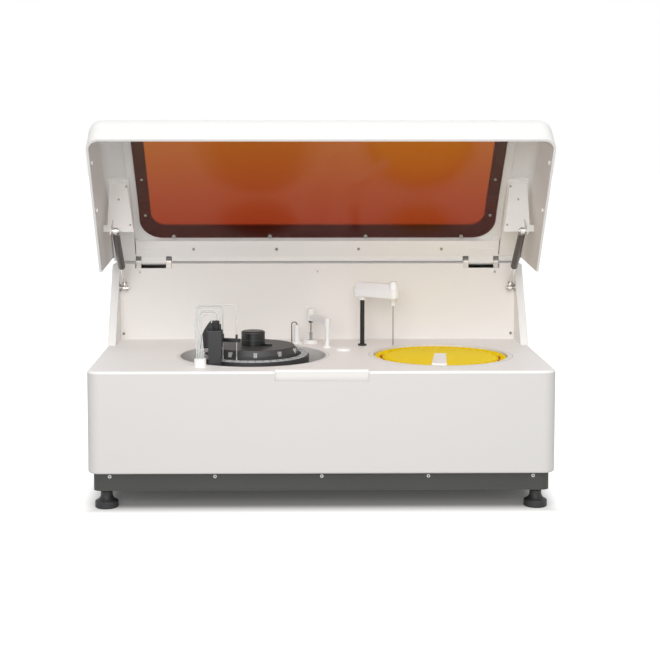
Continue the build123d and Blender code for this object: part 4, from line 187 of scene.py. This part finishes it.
grain, grain_in, grain_out = new_group(
    "surface_grain",
    takes=(("Colour", "Color", (0.8, 0.8, 0.8, 1)), ("Shade", "Color", (0.7, 0.7, 0.7, 1)),
           ("Grain Size", "Float", 900.0), ("Patch Size", "Float", 9.0), ("Patches", "Float", 0.5),
           ("Roughness", "Float", 0.5), ("Roughness Spread", "Float", 0.1)),
    gives=(("Colour", "Color"), ("Roughness", "Float"), ("Height", "Float")))
fine_share = 0.35
grain_place = added(grain, "ShaderNodeTexCoord").outputs["Object"]
fine = noise(grain, grain_place, grain_in["Grain Size"])
patch = noise(grain, grain_place, grain_in["Patch Size"], detail=4.0)
drift = worked_out(grain, "MULTIPLY_ADD", fine, fine_share,
                   worked_out(grain, "MULTIPLY", patch, grain_in["Patches"]))
feed(grain, grain_out["Colour"], blended(grain, drift, grain_in["Colour"], grain_in["Shade"]))
feed(grain, grain_out["Roughness"],
     worked_out(grain, "MULTIPLY_ADD", patch, grain_in["Roughness Spread"], grain_in["Roughness"]))
feed(grain, grain_out["Height"], fine)


def textured(name, group, relief, values):
    """A material whose colour, roughness and relief come from a node group with values of its own."""
    finish, tree, shader = new_finish(name)
    texture = added(tree, "ShaderNodeGroup", values, group)
    bump = added(tree, "ShaderNodeBump", {"Height": texture.outputs["Height"], "Distance": relief})
    feed(tree, shader.inputs["Base Color"], texture.outputs["Colour"])
    feed(tree, shader.inputs["Roughness"], texture.outputs["Roughness"])
    feed(tree, shader.inputs["Normal"], bump.outputs["Normal"])
    return finish, shader


patches = 0.4


def grained(name, colour, shade, grain_size, relief, roughness, shine=0.5):
    """A painted or moulded finish: its colour drifts a little towards the shade, over a fine relief."""
    finish, shader = textured(name, grain, relief, {
        "Colour": (*colour, 1), "Shade": (*shade, 1), "Grain Size": grain_size, "Patches": patches,
        "Roughness": roughness})
    shader.inputs["Specular IOR Level"].default_value = shine
    return finish


def dress(finish, *names):
    """Gives CAD nodes their finish."""
    for name in names:
        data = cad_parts[name].data
        data.materials.clear()
        data.materials.append(finish)


base_coat = grained("base_coat", (0.050, 0.050, 0.045), shade=(0.037, 0.037, 0.034),
                    grain_size=900.0, relief=0.00012, roughness=0.55)
dress(base_coat, "base_frame")

# ---------------------------------------------------------------- levelling feet
# Four moulded feet of dark rubber, each with a lock nut on a zinc plated stud that is screwed up into a
# boss of the base.
zone, zone_in, zone_out = new_group(
    "zone",
    takes=(("Middle", "Vector", (0, 0, 0)), ("Half", "Vector", (0, 0, 0))),
    gives=(("Mask", "Float"),))
zone_place = added(zone, "ShaderNodeTexCoord").outputs["Object"]
off_middle = worked_out(zone, "SUBTRACT", zone_place, zone_in["Middle"], kind="VectorMath")
off_middle = worked_out(zone, "ABSOLUTE", off_middle, kind="VectorMath")
room_left = worked_out(zone, "SUBTRACT", zone_in["Half"], off_middle, kind="VectorMath")
along, across, upright = added(zone, "ShaderNodeSeparateXYZ", {"Vector": room_left}).outputs
least_room = worked_out(zone, "MINIMUM", worked_out(zone, "MINIMUM", along, across), upright)
feed(zone, zone_out["Mask"], worked_out(zone, "GREATER_THAN", least_room, 0.0))


inlay_shade = 0.88


def inlaid(finish, low, high, colour, roughness, metallic=0.0, shade=None):
    """Gives the part of a finish between two corners a colour, a roughness and a metal of its own."""
    tree = finish.node_tree
    shader = tree.nodes["Principled BSDF"]
    inside = added(tree, "ShaderNodeGroup", {
        "Middle": [(start + end) / 2 for start, end in zip(low, high)],
        "Half": [(end - start) / 2 for start, end in zip(low, high)]}, zone).outputs["Mask"]
    shade = shade or [inlay_shade * part for part in colour]
    texture = added(tree, "ShaderNodeGroup", {
        "Colour": (*colour, 1), "Shade": (*shade, 1), "Roughness": roughness}, grain)
    for socket_name, own, kind in (("Base Color", texture.outputs["Colour"], "RGBA"),
                                   ("Roughness", texture.outputs["Roughness"], "FLOAT"),
                                   ("Metallic", metallic, "FLOAT")):
        socket = shader.inputs[socket_name]
        before = socket.links[0].from_socket if socket.is_linked else socket.default_value
        if before != own:
            feed(tree, socket, blended(tree, inside, before, own, kind))


past_sides = 0.5
spare = 0.01


def slice_between(low, high):
    """The corners of a slice right through the analyzer, between two heights."""
    return (-past_sides, -past_sides, low), (past_sides, past_sides, high)


stud_height = 0.016
foot_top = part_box("foot_front_left")[1].z
foot_rubber = grained("foot_rubber", (0.024, 0.023, 0.025), shade=(0.016, 0.015, 0.016),
                      grain_size=1400.0, relief=0.0001, roughness=0.5)
inlaid(foot_rubber, *slice_between(foot_top - stud_height, foot_top + spare),
       colour=(0.10, 0.098, 0.095), roughness=0.4, metallic=0.7)
dress(foot_rubber, "foot_front_left", "foot_front_right", "foot_rear_left", "foot_rear_right")

# ---------------------------------------------------------------- case and rear housing
# Sheet steel in white satin powder coat: the body with its deck, the side panels, the inner wall and the
# cover behind. The coat is one white, painted here in lit and shaded copies: the front and the cover behind
# get a darker white as painted shade, and the deck, the panels and the wall a lighter white as painted
# light.
deck_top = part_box("body_cover")[1].z
deck_edge = 0.0045
deck_over = 0.0415
deck_back = 0.12
# The case front and the cover behind are painted a darker white than the deck and the panels: painted shade.
case_coat = grained("case_coat", (0.735, 0.722, 0.702), shade=(0.715, 0.699, 0.676),
                    grain_size=620.0, relief=0.00005, roughness=0.42, shine=0.35)
# The deck is painted a lighter white: painted light where the lamps fall on it from above.
inlaid(case_coat, (-past_sides, -past_sides, deck_top - deck_edge),
       (past_sides, deck_back, deck_top + deck_over),
       colour=(0.935, 0.924, 0.904), shade=(0.918, 0.902, 0.878), roughness=0.42)
dress(case_coat, "body_cover", "rear_cover")
# The side panels are painted a lighter white than the case front: painted light.
panel_coat = grained("panel_coat", (0.930, 0.918, 0.898), shade=(0.912, 0.896, 0.872),
                     grain_size=620.0, relief=0.00005, roughness=0.42, shine=0.35)
dress(panel_coat, "side_panels")
# The inner wall is painted a lighter white than the case front: painted light.
wall_coat = grained("wall_coat", (0.920, 0.896, 0.866), shade=(0.900, 0.872, 0.838),
                    grain_size=620.0, relief=0.00005, roughness=0.5, shine=0.3)
dress(wall_coat, "rear_wall")

# ---------------------------------------------------------------- screws and hinges
# Zinc plated socket screws hold the front of the base and the inner rear wall. The hinge brackets behind
# them are plated steel, and the hood turns in them on brass pins.
lines, lines_in, lines_out = new_group(
    "brushed_lines",
    takes=(("Colour", "Color", (0.6, 0.6, 0.6, 1)), ("Shade", "Color", (0.4, 0.4, 0.4, 1)),
           ("Stretch", "Vector", (60.0, 60.0, 1800.0)), ("Roughness", "Float", 0.3),
           ("Roughness Spread", "Float", 0.15)),
    gives=(("Colour", "Color"), ("Roughness", "Float"), ("Height", "Float")))
lines_place = added(lines, "ShaderNodeTexCoord").outputs["Object"]
stretched = worked_out(lines, "MULTIPLY", lines_place, lines_in["Stretch"], kind="VectorMath")
stroke = noise(lines, stretched, 1.0, detail=3.0)
feed(lines, lines_out["Colour"], blended(lines, stroke, lines_in["Colour"], lines_in["Shade"]))
feed(lines, lines_out["Roughness"],
     worked_out(lines, "MULTIPLY_ADD", stroke, lines_in["Roughness Spread"], lines_in["Roughness"]))
feed(lines, lines_out["Height"], stroke)


line_relief = 0.00002


def brushed(name, colour, shade, stretch, roughness, metallic=1.0):
    """A metal finish with fine lines along the direction that is stretched least."""
    finish, shader = textured(name, lines, line_relief, {
        "Colour": (*colour, 1), "Shade": (*shade, 1), "Stretch": stretch, "Roughness": roughness})
    shader.inputs["Metallic"].default_value = metallic
    return finish


weld = 0.000001


def placed(name, shape, finish, body):
    """Makes a piece of a finished bmesh, with its finish, which rides on a body."""
    bmesh.ops.remove_doubles(shape, verts=shape.verts, dist=weld)
    bmesh.ops.recalc_face_normals(shape, faces=shape.faces)
    data = bpy.data.meshes.new(name)
    shape.to_mesh(data)
    shape.free()
    data.materials.append(finish)
    piece = bpy.data.objects.new(name, data)
    bpy.context.scene.collection.objects.link(piece)
    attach(piece, body)


def bodies_of(name):
    """The lowest and highest corner of each separate body of a CAD node, from left to right."""
    copy = bmesh.new()
    copy.from_mesh(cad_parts[name].data)
    bmesh.ops.remove_doubles(copy, verts=copy.verts, dist=weld)
    corners = []
    waiting = set(copy.verts)
    while waiting:
        group = [waiting.pop()]
        for vert in group:
            for edge in vert.link_edges:
                other = edge.other_vert(vert)
                if other in waiting:
                    waiting.remove(other)
                    group.append(other)
        corners.append((Vector(min(vert.co[i] for vert in group) for i in range(3)),
                        Vector(max(vert.co[i] for vert in group) for i in range(3))))
    copy.free()
    return sorted(corners, key=lambda pair: (pair[0].x, pair[0].z))


zinc = brushed("zinc_plate", (0.50, 0.49, 0.47), shade=(0.36, 0.355, 0.34),
               stretch=(900.0, 900.0, 300.0), roughness=0.34)
dress(zinc, "case_screws", "lid_screws", "strut_studs")

hair = 0.0001
pins_aside = 0.4
pin_low, pin_high = min(bodies_of("hinge_brackets"), key=lambda pair: pair[1].z - pair[0].z)
hinge_steel = brushed("hinge_steel", (0.66, 0.64, 0.60), shade=(0.52, 0.50, 0.46),
                      stretch=(1500.0, 200.0, 200.0), roughness=0.36, metallic=0.75)
inlaid(hinge_steel, (-pins_aside, pin_low.y - hair, pin_low.z - hair),
       (pins_aside, pin_high.y + hair, pin_high.z + hair),
       colour=(0.50, 0.36, 0.16), roughness=0.3, metallic=1.0)
dress(hinge_steel, "hinge_brackets")

socket_radius = 0.0015
socket_depth = 0.0004
socket_proud = 0.00005
# The hexagon sockets of the zinc screws are painted black: painted shade in their recesses.
socket_shade = grained("socket_shade", (0.020, 0.020, 0.021), shade=(0.012, 0.012, 0.012),
                       grain_size=2500.0, relief=0.00002, roughness=0.6)
sockets = bmesh.new()
for low, high in bodies_of("case_screws"):
    middle = (low + high) / 2
    seat = Matrix.Translation((middle.x, low.y - socket_proud, middle.z))
    hexagon = bmesh.ops.create_circle(sockets, cap_ends=True, radius=socket_radius, segments=6,
                                      matrix=seat @ Matrix.Rotation(math.pi / 2, 4, "X"))
    outer = [face for face in sockets.faces if face.verts[0] in hexagon["verts"]]
    walls = bmesh.ops.extrude_face_region(sockets, geom=outer)
    inner = [part for part in walls["geom"] if isinstance(part, bmesh.types.BMVert)]
    bmesh.ops.translate(sockets, vec=(0, socket_depth, 0), verts=inner)
placed("case_screw_sockets", sockets, socket_shade, "case")

# ---------------------------------------------------------------- hood
# A deep hood moulded in gloss white plastic. The rail, the side trays, the spring brackets and the hinge
# leaves inside it are white painted steel, held by screws and small domed rivets.
hood_gloss = grained("hood_gloss", (0.868, 0.866, 0.858), shade=(0.850, 0.846, 0.835),
                     grain_size=300.0, relief=0.00002, roughness=0.3, shine=0.4)
dress(hood_gloss, "lid_shell")
# This white is lighter than the case front: painted light on the steel inside the hood, where the lamps
# reach less.
inner_coat = grained("inner_coat", (0.940, 0.926, 0.905), shade=(0.918, 0.900, 0.876),
                     grain_size=620.0, relief=0.00005, roughness=0.42, shine=0.35)
dress(inner_coat, "lid_rail", "lid_trays", "spring_brackets", "hinge_leaves")

rivet_radius = 0.0023
rivet_dome = Matrix.Diagonal((1, 1, 0.5, 1))
plate_out = Vector((0, -0.91, 0.41)).to_track_quat("Z", "Y").to_matrix().to_4x4()
rivet_seats = ((0.3871, -0.0095, 0.5835), (0.4010, -0.0210, 0.5578), (0.3757, -0.0431, 0.5082))
rivets = bmesh.new()
for from_centre, back, height in rivet_seats:
    for side in (-1, 1):
        seat = Matrix.Translation((side * from_centre, back, height))
        bmesh.ops.create_uvsphere(rivets, u_segments=16, v_segments=8, radius=rivet_radius,
                                  matrix=seat @ plate_out @ rivet_dome)
placed("bracket_rivets", rivets, zinc, "lid")

# ---------------------------------------------------------------- window
# A tinted amber pane of acrylic, its colour painted darker and redder towards its lower edge as painted
# shade. It lies on a gasket of dark foam and is held by cap nuts along its border.
gasket_foam = grained("gasket_foam", (0.085, 0.062, 0.060), shade=(0.060, 0.042, 0.040),
                      grain_size=1100.0, relief=0.0002, roughness=0.7, shine=0.3)
dress(gasket_foam, "window_gasket")

# The tint is painted darker and redder from amber_high down to amber_low at the pane's lower edge: painted
# shade.
amber_low = (0.30, 0.031, 0.010, 1)
amber_middle = (0.38, 0.066, 0.014, 1)
amber_high = (0.50, 0.150, 0.018, 1)
middle_at = 0.45
pane_clouds = 14.0
pane_low, pane_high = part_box("lid_window")
pane_tint, pane_tree, pane_shader = new_finish("pane_tint")
pane_shader.inputs["Transmission Weight"].default_value = 0.85
pane_shader.inputs["IOR"].default_value = 1.49
pane_shader.inputs["Specular IOR Level"].default_value = 0.06
pane_place = added(pane_tree, "ShaderNodeTexCoord").outputs["Object"]
pane_height = added(pane_tree, "ShaderNodeSeparateXYZ", {"Vector": pane_place}).outputs["Z"]
pane_share = added(pane_tree, "ShaderNodeMapRange", {
    "Value": pane_height, "From Min": pane_low.z, "From Max": pane_high.z})
pane_ramp = added(pane_tree, "ShaderNodeValToRGB", {"Fac": pane_share.outputs["Result"]})
pane_ramp.color_ramp.elements[0].color = amber_low
pane_ramp.color_ramp.elements[1].color = amber_high
pane_ramp.color_ramp.elements.new(middle_at).color = amber_middle
pane_rough = added(pane_tree, "ShaderNodeMapRange", {
    "Value": noise(pane_tree, pane_place, pane_clouds), "To Min": 0.10, "To Max": 0.16})
feed(pane_tree, pane_shader.inputs["Base Color"], pane_ramp.outputs["Color"])
feed(pane_tree, pane_shader.inputs["Roughness"], pane_rough.outputs["Result"])
dress(pane_tint, "lid_window")

# ---------------------------------------------------------------- gas springs
# Black painted tubes with polished rods. Each end has a bright eye on a stud, and a domed bolt with its
# washer holds the eye there.
eye_colour = (0.62, 0.61, 0.59)
strut_top = Vector((0.3975, -0.0719, 0.4986))
strut_foot = Vector((0.3975, 0.0870, 0.3680))
eye_near = 0.009
eye_far = 0.012
eyes_aside = 0.42
strut_black = grained("strut_black", (0.095, 0.080, 0.078), shade=(0.065, 0.055, 0.054),
                      grain_size=900.0, relief=0.00003, roughness=0.3)
inlaid(strut_black, (-eyes_aside, strut_top.y - eye_far, strut_top.z - eye_near),
       (eyes_aside, strut_top.y + eye_near, strut_top.z + eye_far),
       colour=eye_colour, roughness=0.25, metallic=1.0)
strut_chrome = brushed("strut_chrome", (0.74, 0.73, 0.71), shade=eye_colour,
                       stretch=(300.0, 300.0, 300.0), roughness=0.12)
dress(strut_black, "gas_tube_left", "gas_tube_right")
dress(strut_chrome, "gas_rod_left", "gas_rod_right")


def lathed(shape, outline, steps, closed=False):
    """Turns an outline of radius and height pairs round the upright axis, and gives its corners."""
    earlier = set(shape.verts)
    corners = [shape.verts.new((radius, 0, height)) for radius, height in outline]
    following = corners[1:] + corners[:1] if closed else corners[1:]
    edges = [shape.edges.new(pair) for pair in zip(corners, following)]
    bmesh.ops.spin(shape, geom=corners + edges, axis=(0, 0, 1), cent=(0, 0, 0), angle=2 * math.pi,
                   steps=steps, use_merge=True)
    return [vert for vert in shape.verts if vert not in earlier]


washer_radius = 0.0046
washer_thick = 0.0009
washer_crown = 0.0011
head_radius = 0.0034
head_straight = 0.0022
dome_rounding = ((0.0026, 0.0030), (0.0014, 0.0034))
dome_top = 0.0035
bolt_outline = ((0, 0), (washer_radius, 0), (washer_radius, washer_thick), (head_radius, washer_crown),
                (head_radius, head_straight), *dome_rounding, (0, dome_top))
for part, pivot in (("tube", strut_top), ("rod", strut_foot)):
    for side_word, side in (("left", -1), ("right", 1)):
        bolt = bmesh.new()
        lathed(bolt, bolt_outline, steps=24)
        seat = Matrix.Translation((side * pivot.x, pivot.y, pivot.z))
        inward = Matrix.Rotation(-side * math.pi / 2, 4, "Y")
        bmesh.ops.transform(bolt, verts=bolt.verts, matrix=seat @ inward)
        strut = side_word + "_" + part
        placed("strut_bolt_" + strut, bolt, strut_chrome, strut)

# ---------------------------------------------------------------- reaction side
# A black moulded disc turns in a pale moulded tub, with a ring of clear cuvettes and clear blocks on it.
# The black knob in the middle has two raised bands for the fingers, and a lever. The other tub is like this.
disc_middle = Vector((-0.130, -0.118, 0.0))
disc_black = grained("disc_black", (0.050, 0.050, 0.050), shade=(0.034, 0.034, 0.035),
                     grain_size=1300.0, relief=0.00008, roughness=0.42)
dress(disc_black, "reaction_disc")
tub_white = grained("tub_white", (0.84, 0.83, 0.81), shade=(0.79, 0.78, 0.76),
                    grain_size=900.0, relief=0.00006, roughness=0.4, shine=0.4)
dress(tub_white, "reaction_tub", "reagent_tub")
knob_black = grained("knob_black", (0.009, 0.009, 0.010), shade=(0.006, 0.006, 0.006),
                     grain_size=1500.0, relief=0.00004, roughness=0.3)
dress(knob_black, "disc_knob")
spindle_steel = brushed("spindle_steel", (0.60, 0.60, 0.59), shade=(0.46, 0.46, 0.45),
                        stretch=(150.0, 150.0, 2000.0), roughness=0.26)
dress(spindle_steel, "reaction_spindle", "reagent_spindle", "syringe_plunger")

marks, marks_in, marks_out = new_group(
    "ring_marks",
    takes=(("Middle", "Vector", (0, 0, 0)), ("Count", "Float", 0.0), ("First", "Float", 0.0),
           ("Width", "Float", 0.0)),
    gives=(("Mask", "Float"),))
marks_place = added(marks, "ShaderNodeTexCoord").outputs["Object"]
off_centre = worked_out(marks, "SUBTRACT", marks_place, marks_in["Middle"], kind="VectorMath")
off = added(marks, "ShaderNodeSeparateXYZ", {"Vector": off_centre}).outputs
bearing = worked_out(marks, "SUBTRACT", worked_out(marks, "ARCTAN2", off["Y"], off["X"]), marks_in["First"])
wave = worked_out(marks, "COSINE", worked_out(marks, "MULTIPLY", bearing, marks_in["Count"]))
mark = added(marks, "ShaderNodeMapRange", {"Value": wave, "From Min": marks_in["Width"], "From Max": 1.0})
feed(marks, marks_out["Mask"], mark.outputs["Result"])

cuvettes = 44
first_cuvette = math.radians(-106.5)
half_pitch = math.pi / cuvettes
cuvette_clear, cuvette_tree, cuvette_shader = new_finish("cuvette_clear")
cuvette_shader.inputs["Transmission Weight"].default_value = 0.45
cuvette_shader.inputs["Roughness"].default_value = 0.16
cuvette_walls = added(cuvette_tree, "ShaderNodeGroup", {
    "Middle": disc_middle, "Count": cuvettes, "First": first_cuvette + half_pitch, "Width": 0.8},
    marks).outputs["Mask"]
cuvette_relief = added(cuvette_tree, "ShaderNodeBump", {"Height": cuvette_walls, "Distance": 0.0003})
feed(cuvette_tree, cuvette_shader.inputs["Base Color"],
     blended(cuvette_tree, cuvette_walls, (0.86, 0.87, 0.87, 1), (0.62, 0.64, 0.65, 1)))
feed(cuvette_tree, cuvette_shader.inputs["Normal"], cuvette_relief.outputs["Normal"])
dress(cuvette_clear, "cuvette_ring")

band_depth = 0.0015
band_proud = 0.0005
band_round = 0.0004
knob_bands = ((0.3035, 0.0228, 0.0012), (0.2895, 0.0232, 0.0008))
for number, (height, reach, thick) in enumerate(knob_bands):
    inside = reach - band_depth
    outside = reach + band_proud
    corner = outside - band_round
    band = bmesh.new()
    lathed(band, ((inside, -thick), (corner, -thick), (outside, -thick / 2), (outside, thick / 2),
                  (corner, thick), (inside, thick)), steps=64, closed=True)
    bmesh.ops.translate(band, vec=(disc_middle.x, disc_middle.y, height), verts=band.verts)
    placed("knob_band_%d" % (number + 1), band, disc_black, "knob")

# ---------------------------------------------------------------- wash head
# A black anodised block with holders for four steel needles, which have white tips and black hose fittings.
# Clear plastic tubes loop from the fittings down into a gland in the deck.
head_black = grained("head_black", (0.016, 0.016, 0.017), shade=(0.009, 0.009, 0.010),
                     grain_size=1500.0, relief=0.00005, roughness=0.36)
dress(head_black, "wash_head")

tip_height = 0.0065
fitting_height = 0.0105
needles_low, needles_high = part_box("wash_needles")
needle_steel = brushed("needle_steel", (0.56, 0.55, 0.53), shade=(0.42, 0.41, 0.40),
                       stretch=(900.0, 900.0, 200.0), roughness=0.3)
inlaid(needle_steel, *slice_between(needles_low.z - spare, needles_low.z + tip_height),
       colour=(0.88, 0.88, 0.87), roughness=0.4)
inlaid(needle_steel, *slice_between(needles_high.z - fitting_height, needles_high.z + spare),
       colour=(0.018, 0.018, 0.019), roughness=0.4)
dress(needle_steel, "wash_needles")

tube_clouds = 260.0
tube_clear, tube_tree, tube_shader = new_finish("tube_clear")
tube_shader.inputs["Transmission Weight"].default_value = 0.3
tube_shader.inputs["IOR"].default_value = 1.36
tube_cloud = noise(tube_tree, added(tube_tree, "ShaderNodeTexCoord").outputs["Object"], tube_clouds)
tube_rough = added(tube_tree, "ShaderNodeMapRange", {"Value": tube_cloud, "To Min": 0.18, "To Max": 0.3})
feed(tube_tree, tube_shader.inputs["Base Color"],
     blended(tube_tree, tube_cloud, (0.88, 0.88, 0.87, 1), (0.80, 0.81, 0.80, 1)))
feed(tube_tree, tube_shader.inputs["Roughness"], tube_rough.outputs["Result"])
dress(tube_clear, "wash_tubes")

# ---------------------------------------------------------------- reagent side
# A yellow moulded rack with a ring of wells for small bottles. Amber screw caps sit in the wells, and their
# dark amber is painted shade for the shadowed wells. A flat white handle lies across its top.
rack_middle = Vector((0.236, -0.118, 0.0))
rack_yellow = grained("rack_yellow", (1.0, 0.76, 0.008), shade=(0.98, 0.69, 0.006),
                      grain_size=700.0, relief=0.00004, roughness=0.5, shine=0.06)
dress(rack_yellow, "reagent_rack")
handle_white = grained("handle_white", (0.95, 0.945, 0.93), shade=(0.93, 0.922, 0.905),
                       grain_size=900.0, relief=0.00004, roughness=0.35, shine=0.4)
dress(handle_white, "rack_handle")

bottles = 16
bottle_circle = 0.116
first_bottle = math.radians(7.5)
cap_radius = 0.0052
cap_low = 0.2420
cap_edge = 0.2522
cap_top = 0.2530
top_radius = 0.0046
rim_radius = 0.0030
dish_radius = 0.0026
dish_floor = 0.2526
# The caps' dark amber is painted shade: it stands for the rack's wells lying in shadow.
cap_amber_shade = grained("cap_amber_shade", (0.56, 0.20, 0.030), shade=(0.42, 0.13, 0.020),
                    grain_size=2200.0, relief=0.00004, roughness=0.35)
caps = bmesh.new()
for number in range(bottles):
    angle = first_bottle + number * 2 * math.pi / bottles
    cap = lathed(caps, ((0, cap_low), (cap_radius, cap_low), (cap_radius, cap_edge), (top_radius, cap_top),
                        (rim_radius, cap_top), (dish_radius, dish_floor), (0, dish_floor)), steps=20)
    bmesh.ops.translate(caps, verts=cap, vec=(rack_middle.x + bottle_circle * math.cos(angle),
                                              rack_middle.y + bottle_circle * math.sin(angle), 0))
placed("bottle_caps", caps, cap_amber_shade, "reagent_turntable")

# ---------------------------------------------------------------- sampling arm
# A white moulded arm on a black anodised column, which lifts and turns it. A white nozzle under its end
# grips the thin steel needle.
arm_white = grained("arm_white", (0.94, 0.935, 0.93), shade=(0.915, 0.91, 0.902),
                    grain_size=1100.0, relief=0.00004, roughness=0.34, shine=0.4)
dress(arm_white, "probe_arm")
column_black = brushed("column_black", (0.022, 0.021, 0.021), shade=(0.012, 0.012, 0.012),
                       stretch=(900.0, 900.0, 60.0), roughness=0.34, metallic=0.4)
dress(column_black, "probe_column")

nozzle_height = 0.0152
needle_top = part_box("probe_needle")[1].z
probe_steel = brushed("probe_steel", (0.40, 0.37, 0.35), shade=(0.28, 0.26, 0.25),
                      stretch=(900.0, 900.0, 200.0), roughness=0.3)
inlaid(probe_steel, *slice_between(needle_top - nozzle_height, needle_top + spare),
       colour=(0.90, 0.895, 0.885), roughness=0.34)
dress(probe_steel, "probe_needle")

# ---------------------------------------------------------------- mixing arm, cups and posts
# White moulded mixing arm, wash cups, collars, drain nozzle and gland. The stirring rod hangs from a small
# dark chuck, a hooked steel tube runs up the drain nozzle, and the sampling column's collar is black.
fitting_white = grained("fitting_white", (0.94, 0.935, 0.92), shade=(0.91, 0.902, 0.885),
                        grain_size=900.0, relief=0.00004, roughness=0.35, shine=0.4)
dress(fitting_white, "wash_cups", "mixer_arm", "tube_gland")

spare_round = Vector((spare, spare, spare))
collar_low, collar_high = bodies_of("post_collars")[-1]
collar_white = fitting_white.copy()
collar_white.name = "collar_white"
inlaid(collar_white, collar_low - spare_round, collar_high + spare_round,
       colour=(0.020, 0.019, 0.019), roughness=0.4)
dress(collar_white, "post_collars")

hook_colour = (0.13, 0.125, 0.12)
flange_height = 0.0055
flange_reach = 0.0015
flange_room = 0.0005
(hook_low, hook_high), (drain_low, drain_high) = bodies_of("drain_post")
drain_white = fitting_white.copy()
drain_white.name = "drain_white"
for right_of_hook, from_height in ((drain_low.x + flange_reach, deck_top + flange_height),
                                   (hook_high.x + spare, drain_high.z + hair),
                                   (drain_low.x - flange_room, deck_top - flange_room)):
    inlaid(drain_white, (hook_low.x - spare, hook_low.y - spare, from_height),
           (right_of_hook, hook_high.y + spare, hook_high.z + spare),
           colour=hook_colour, roughness=0.35, metallic=0.6)
dress(drain_white, "drain_post")

chuck_low = 0.0172
chuck_high = 0.0115
rod_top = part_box("mixer_paddle")[1].z
rod_steel = brushed("rod_steel", (0.42, 0.41, 0.40), shade=(0.30, 0.30, 0.29),
                    stretch=(900.0, 900.0, 200.0), roughness=0.3)
inlaid(rod_steel, *slice_between(rod_top - chuck_low, rod_top - chuck_high),
       colour=(0.022, 0.021, 0.021), roughness=0.4)
dress(rod_steel, "mixer_paddle")

# ---------------------------------------------------------------- fan, inlet, switch and ports
# Black moulded fan, rocker switch and mains inlet, which has brass pins. The grey moulded hose fittings are
# told apart by a coloured collar on each.
fan_black = grained("fan_black", (0.020, 0.020, 0.021), shade=(0.013, 0.013, 0.014),
                    grain_size=1100.0, relief=0.00006, roughness=0.5)
dress(fan_black, "fan_frame", "fan_rotor", "power_switch")

pins_half = Vector((0.010, 0.007, 0.0065))
pins_back = 0.0015
inlet_low, inlet_high = bodies_of("power_inlet")[-1]
pins_middle = (inlet_low + inlet_high) / 2 + Vector((0, pins_back, 0))
inlet_black = fan_black.copy()
inlet_black.name = "inlet_black"
inlaid(inlet_black, pins_middle - pins_half, pins_middle + pins_half,
       colour=(0.60, 0.45, 0.20), roughness=0.3, metallic=1.0)
dress(inlet_black, "power_inlet")

ring_bore = 0.0048
ring_radius = 0.0076
ring_thick = 0.0016
ring_corner = 0.0004
ring_seat = 0.0017
ring_shade = 0.75
port_grey = grained("port_grey", (0.42, 0.43, 0.44), shade=(0.36, 0.37, 0.38),
                    grain_size=1100.0, relief=0.00005, roughness=0.45)
dress(port_grey, "fluid_ports")
port_colours = (("blue", (0.03, 0.14, 0.46)), ("white", (0.82, 0.82, 0.80)),
                ("yellow", (0.80, 0.52, 0.02)), ("red", (0.50, 0.03, 0.02)))
for (word, colour), (low, high) in zip(port_colours, bodies_of("fluid_ports")):
    ring = bmesh.new()
    lathed(ring, ((ring_bore, 0), (ring_radius - ring_corner, 0), (ring_radius, ring_corner),
                  (ring_radius, ring_thick - ring_corner), (ring_radius - ring_corner, ring_thick),
                  (ring_bore, ring_thick)), steps=48, closed=True)
    seat = Matrix.Translation(((low.x + high.x) / 2, high.y - ring_seat, (low.z + high.z) / 2))
    bmesh.ops.transform(ring, verts=ring.verts, matrix=seat @ Matrix.Rotation(-math.pi / 2, 4, "X"))
    ring_finish = grained("collar_" + word, colour, shade=[ring_shade * part for part in colour],
                          grain_size=1500.0, relief=0.00003, roughness=0.4)
    placed("port_collar_" + word, ring, ring_finish, "case")

# ---------------------------------------------------------------- inside the case
# Blocks and drives of anodised aluminium, black motors with a bright steel middle, the pumps with a clear
# syringe, the supply in zinc plated steel, and the green circuit board with its parts.
anodised = brushed("anodised", (0.36, 0.37, 0.39), shade=(0.29, 0.30, 0.32),
                   stretch=(700.0, 700.0, 300.0), roughness=0.38)
dress(anodised, "tub_pillars", "lift_drives", "probe_carriage", "mixer_carriage", "lamp_house")

motor_cap = Vector((0, 0, 0.012))
motor_black = brushed("motor_black", (0.030, 0.030, 0.031), shade=(0.020, 0.020, 0.021),
                      stretch=(700.0, 700.0, 300.0), roughness=0.4, metallic=0.3)
for low, high in bodies_of("disc_motors"):
    inlaid(motor_black, low + motor_cap, high - motor_cap,
           colour=(0.55, 0.55, 0.54), roughness=0.3, metallic=1.0)
dress(motor_black, "disc_motors")

syringe_base = Vector((-spare, -spare, 0.0705))
syringe_low, syringe_high = bodies_of("pumps")[0]
pump_grey = grained("pump_grey", (0.30, 0.31, 0.32), shade=(0.24, 0.25, 0.26),
                    grain_size=900.0, relief=0.00005, roughness=0.4)
inlaid(pump_grey, syringe_low + syringe_base, syringe_high + spare_round,
       colour=(0.74, 0.76, 0.77), roughness=0.15)
dress(pump_grey, "pumps")

supply_zinc = brushed("supply_zinc", (0.50, 0.50, 0.49), shade=(0.38, 0.38, 0.37),
                      stretch=(40.0, 900.0, 900.0), roughness=0.34)
dress(supply_zinc, "power_supply")

chips_from = 0.0139
cans_from = 0.0178
board_low, board_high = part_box("main_board")
board_green = grained("board_green", (0.014, 0.11, 0.045), shade=(0.010, 0.075, 0.032),
                      grain_size=500.0, relief=0.00006, roughness=0.4)
inlaid(board_green, *slice_between(board_low.z + chips_from, board_low.z + cans_from),
       colour=(0.020, 0.020, 0.021), roughness=0.45)
inlaid(board_green, *slice_between(board_low.z + cans_from, board_high.z + spare),
       colour=(0.42, 0.43, 0.46), roughness=0.3, metallic=0.8)
dress(board_green, "main_board")
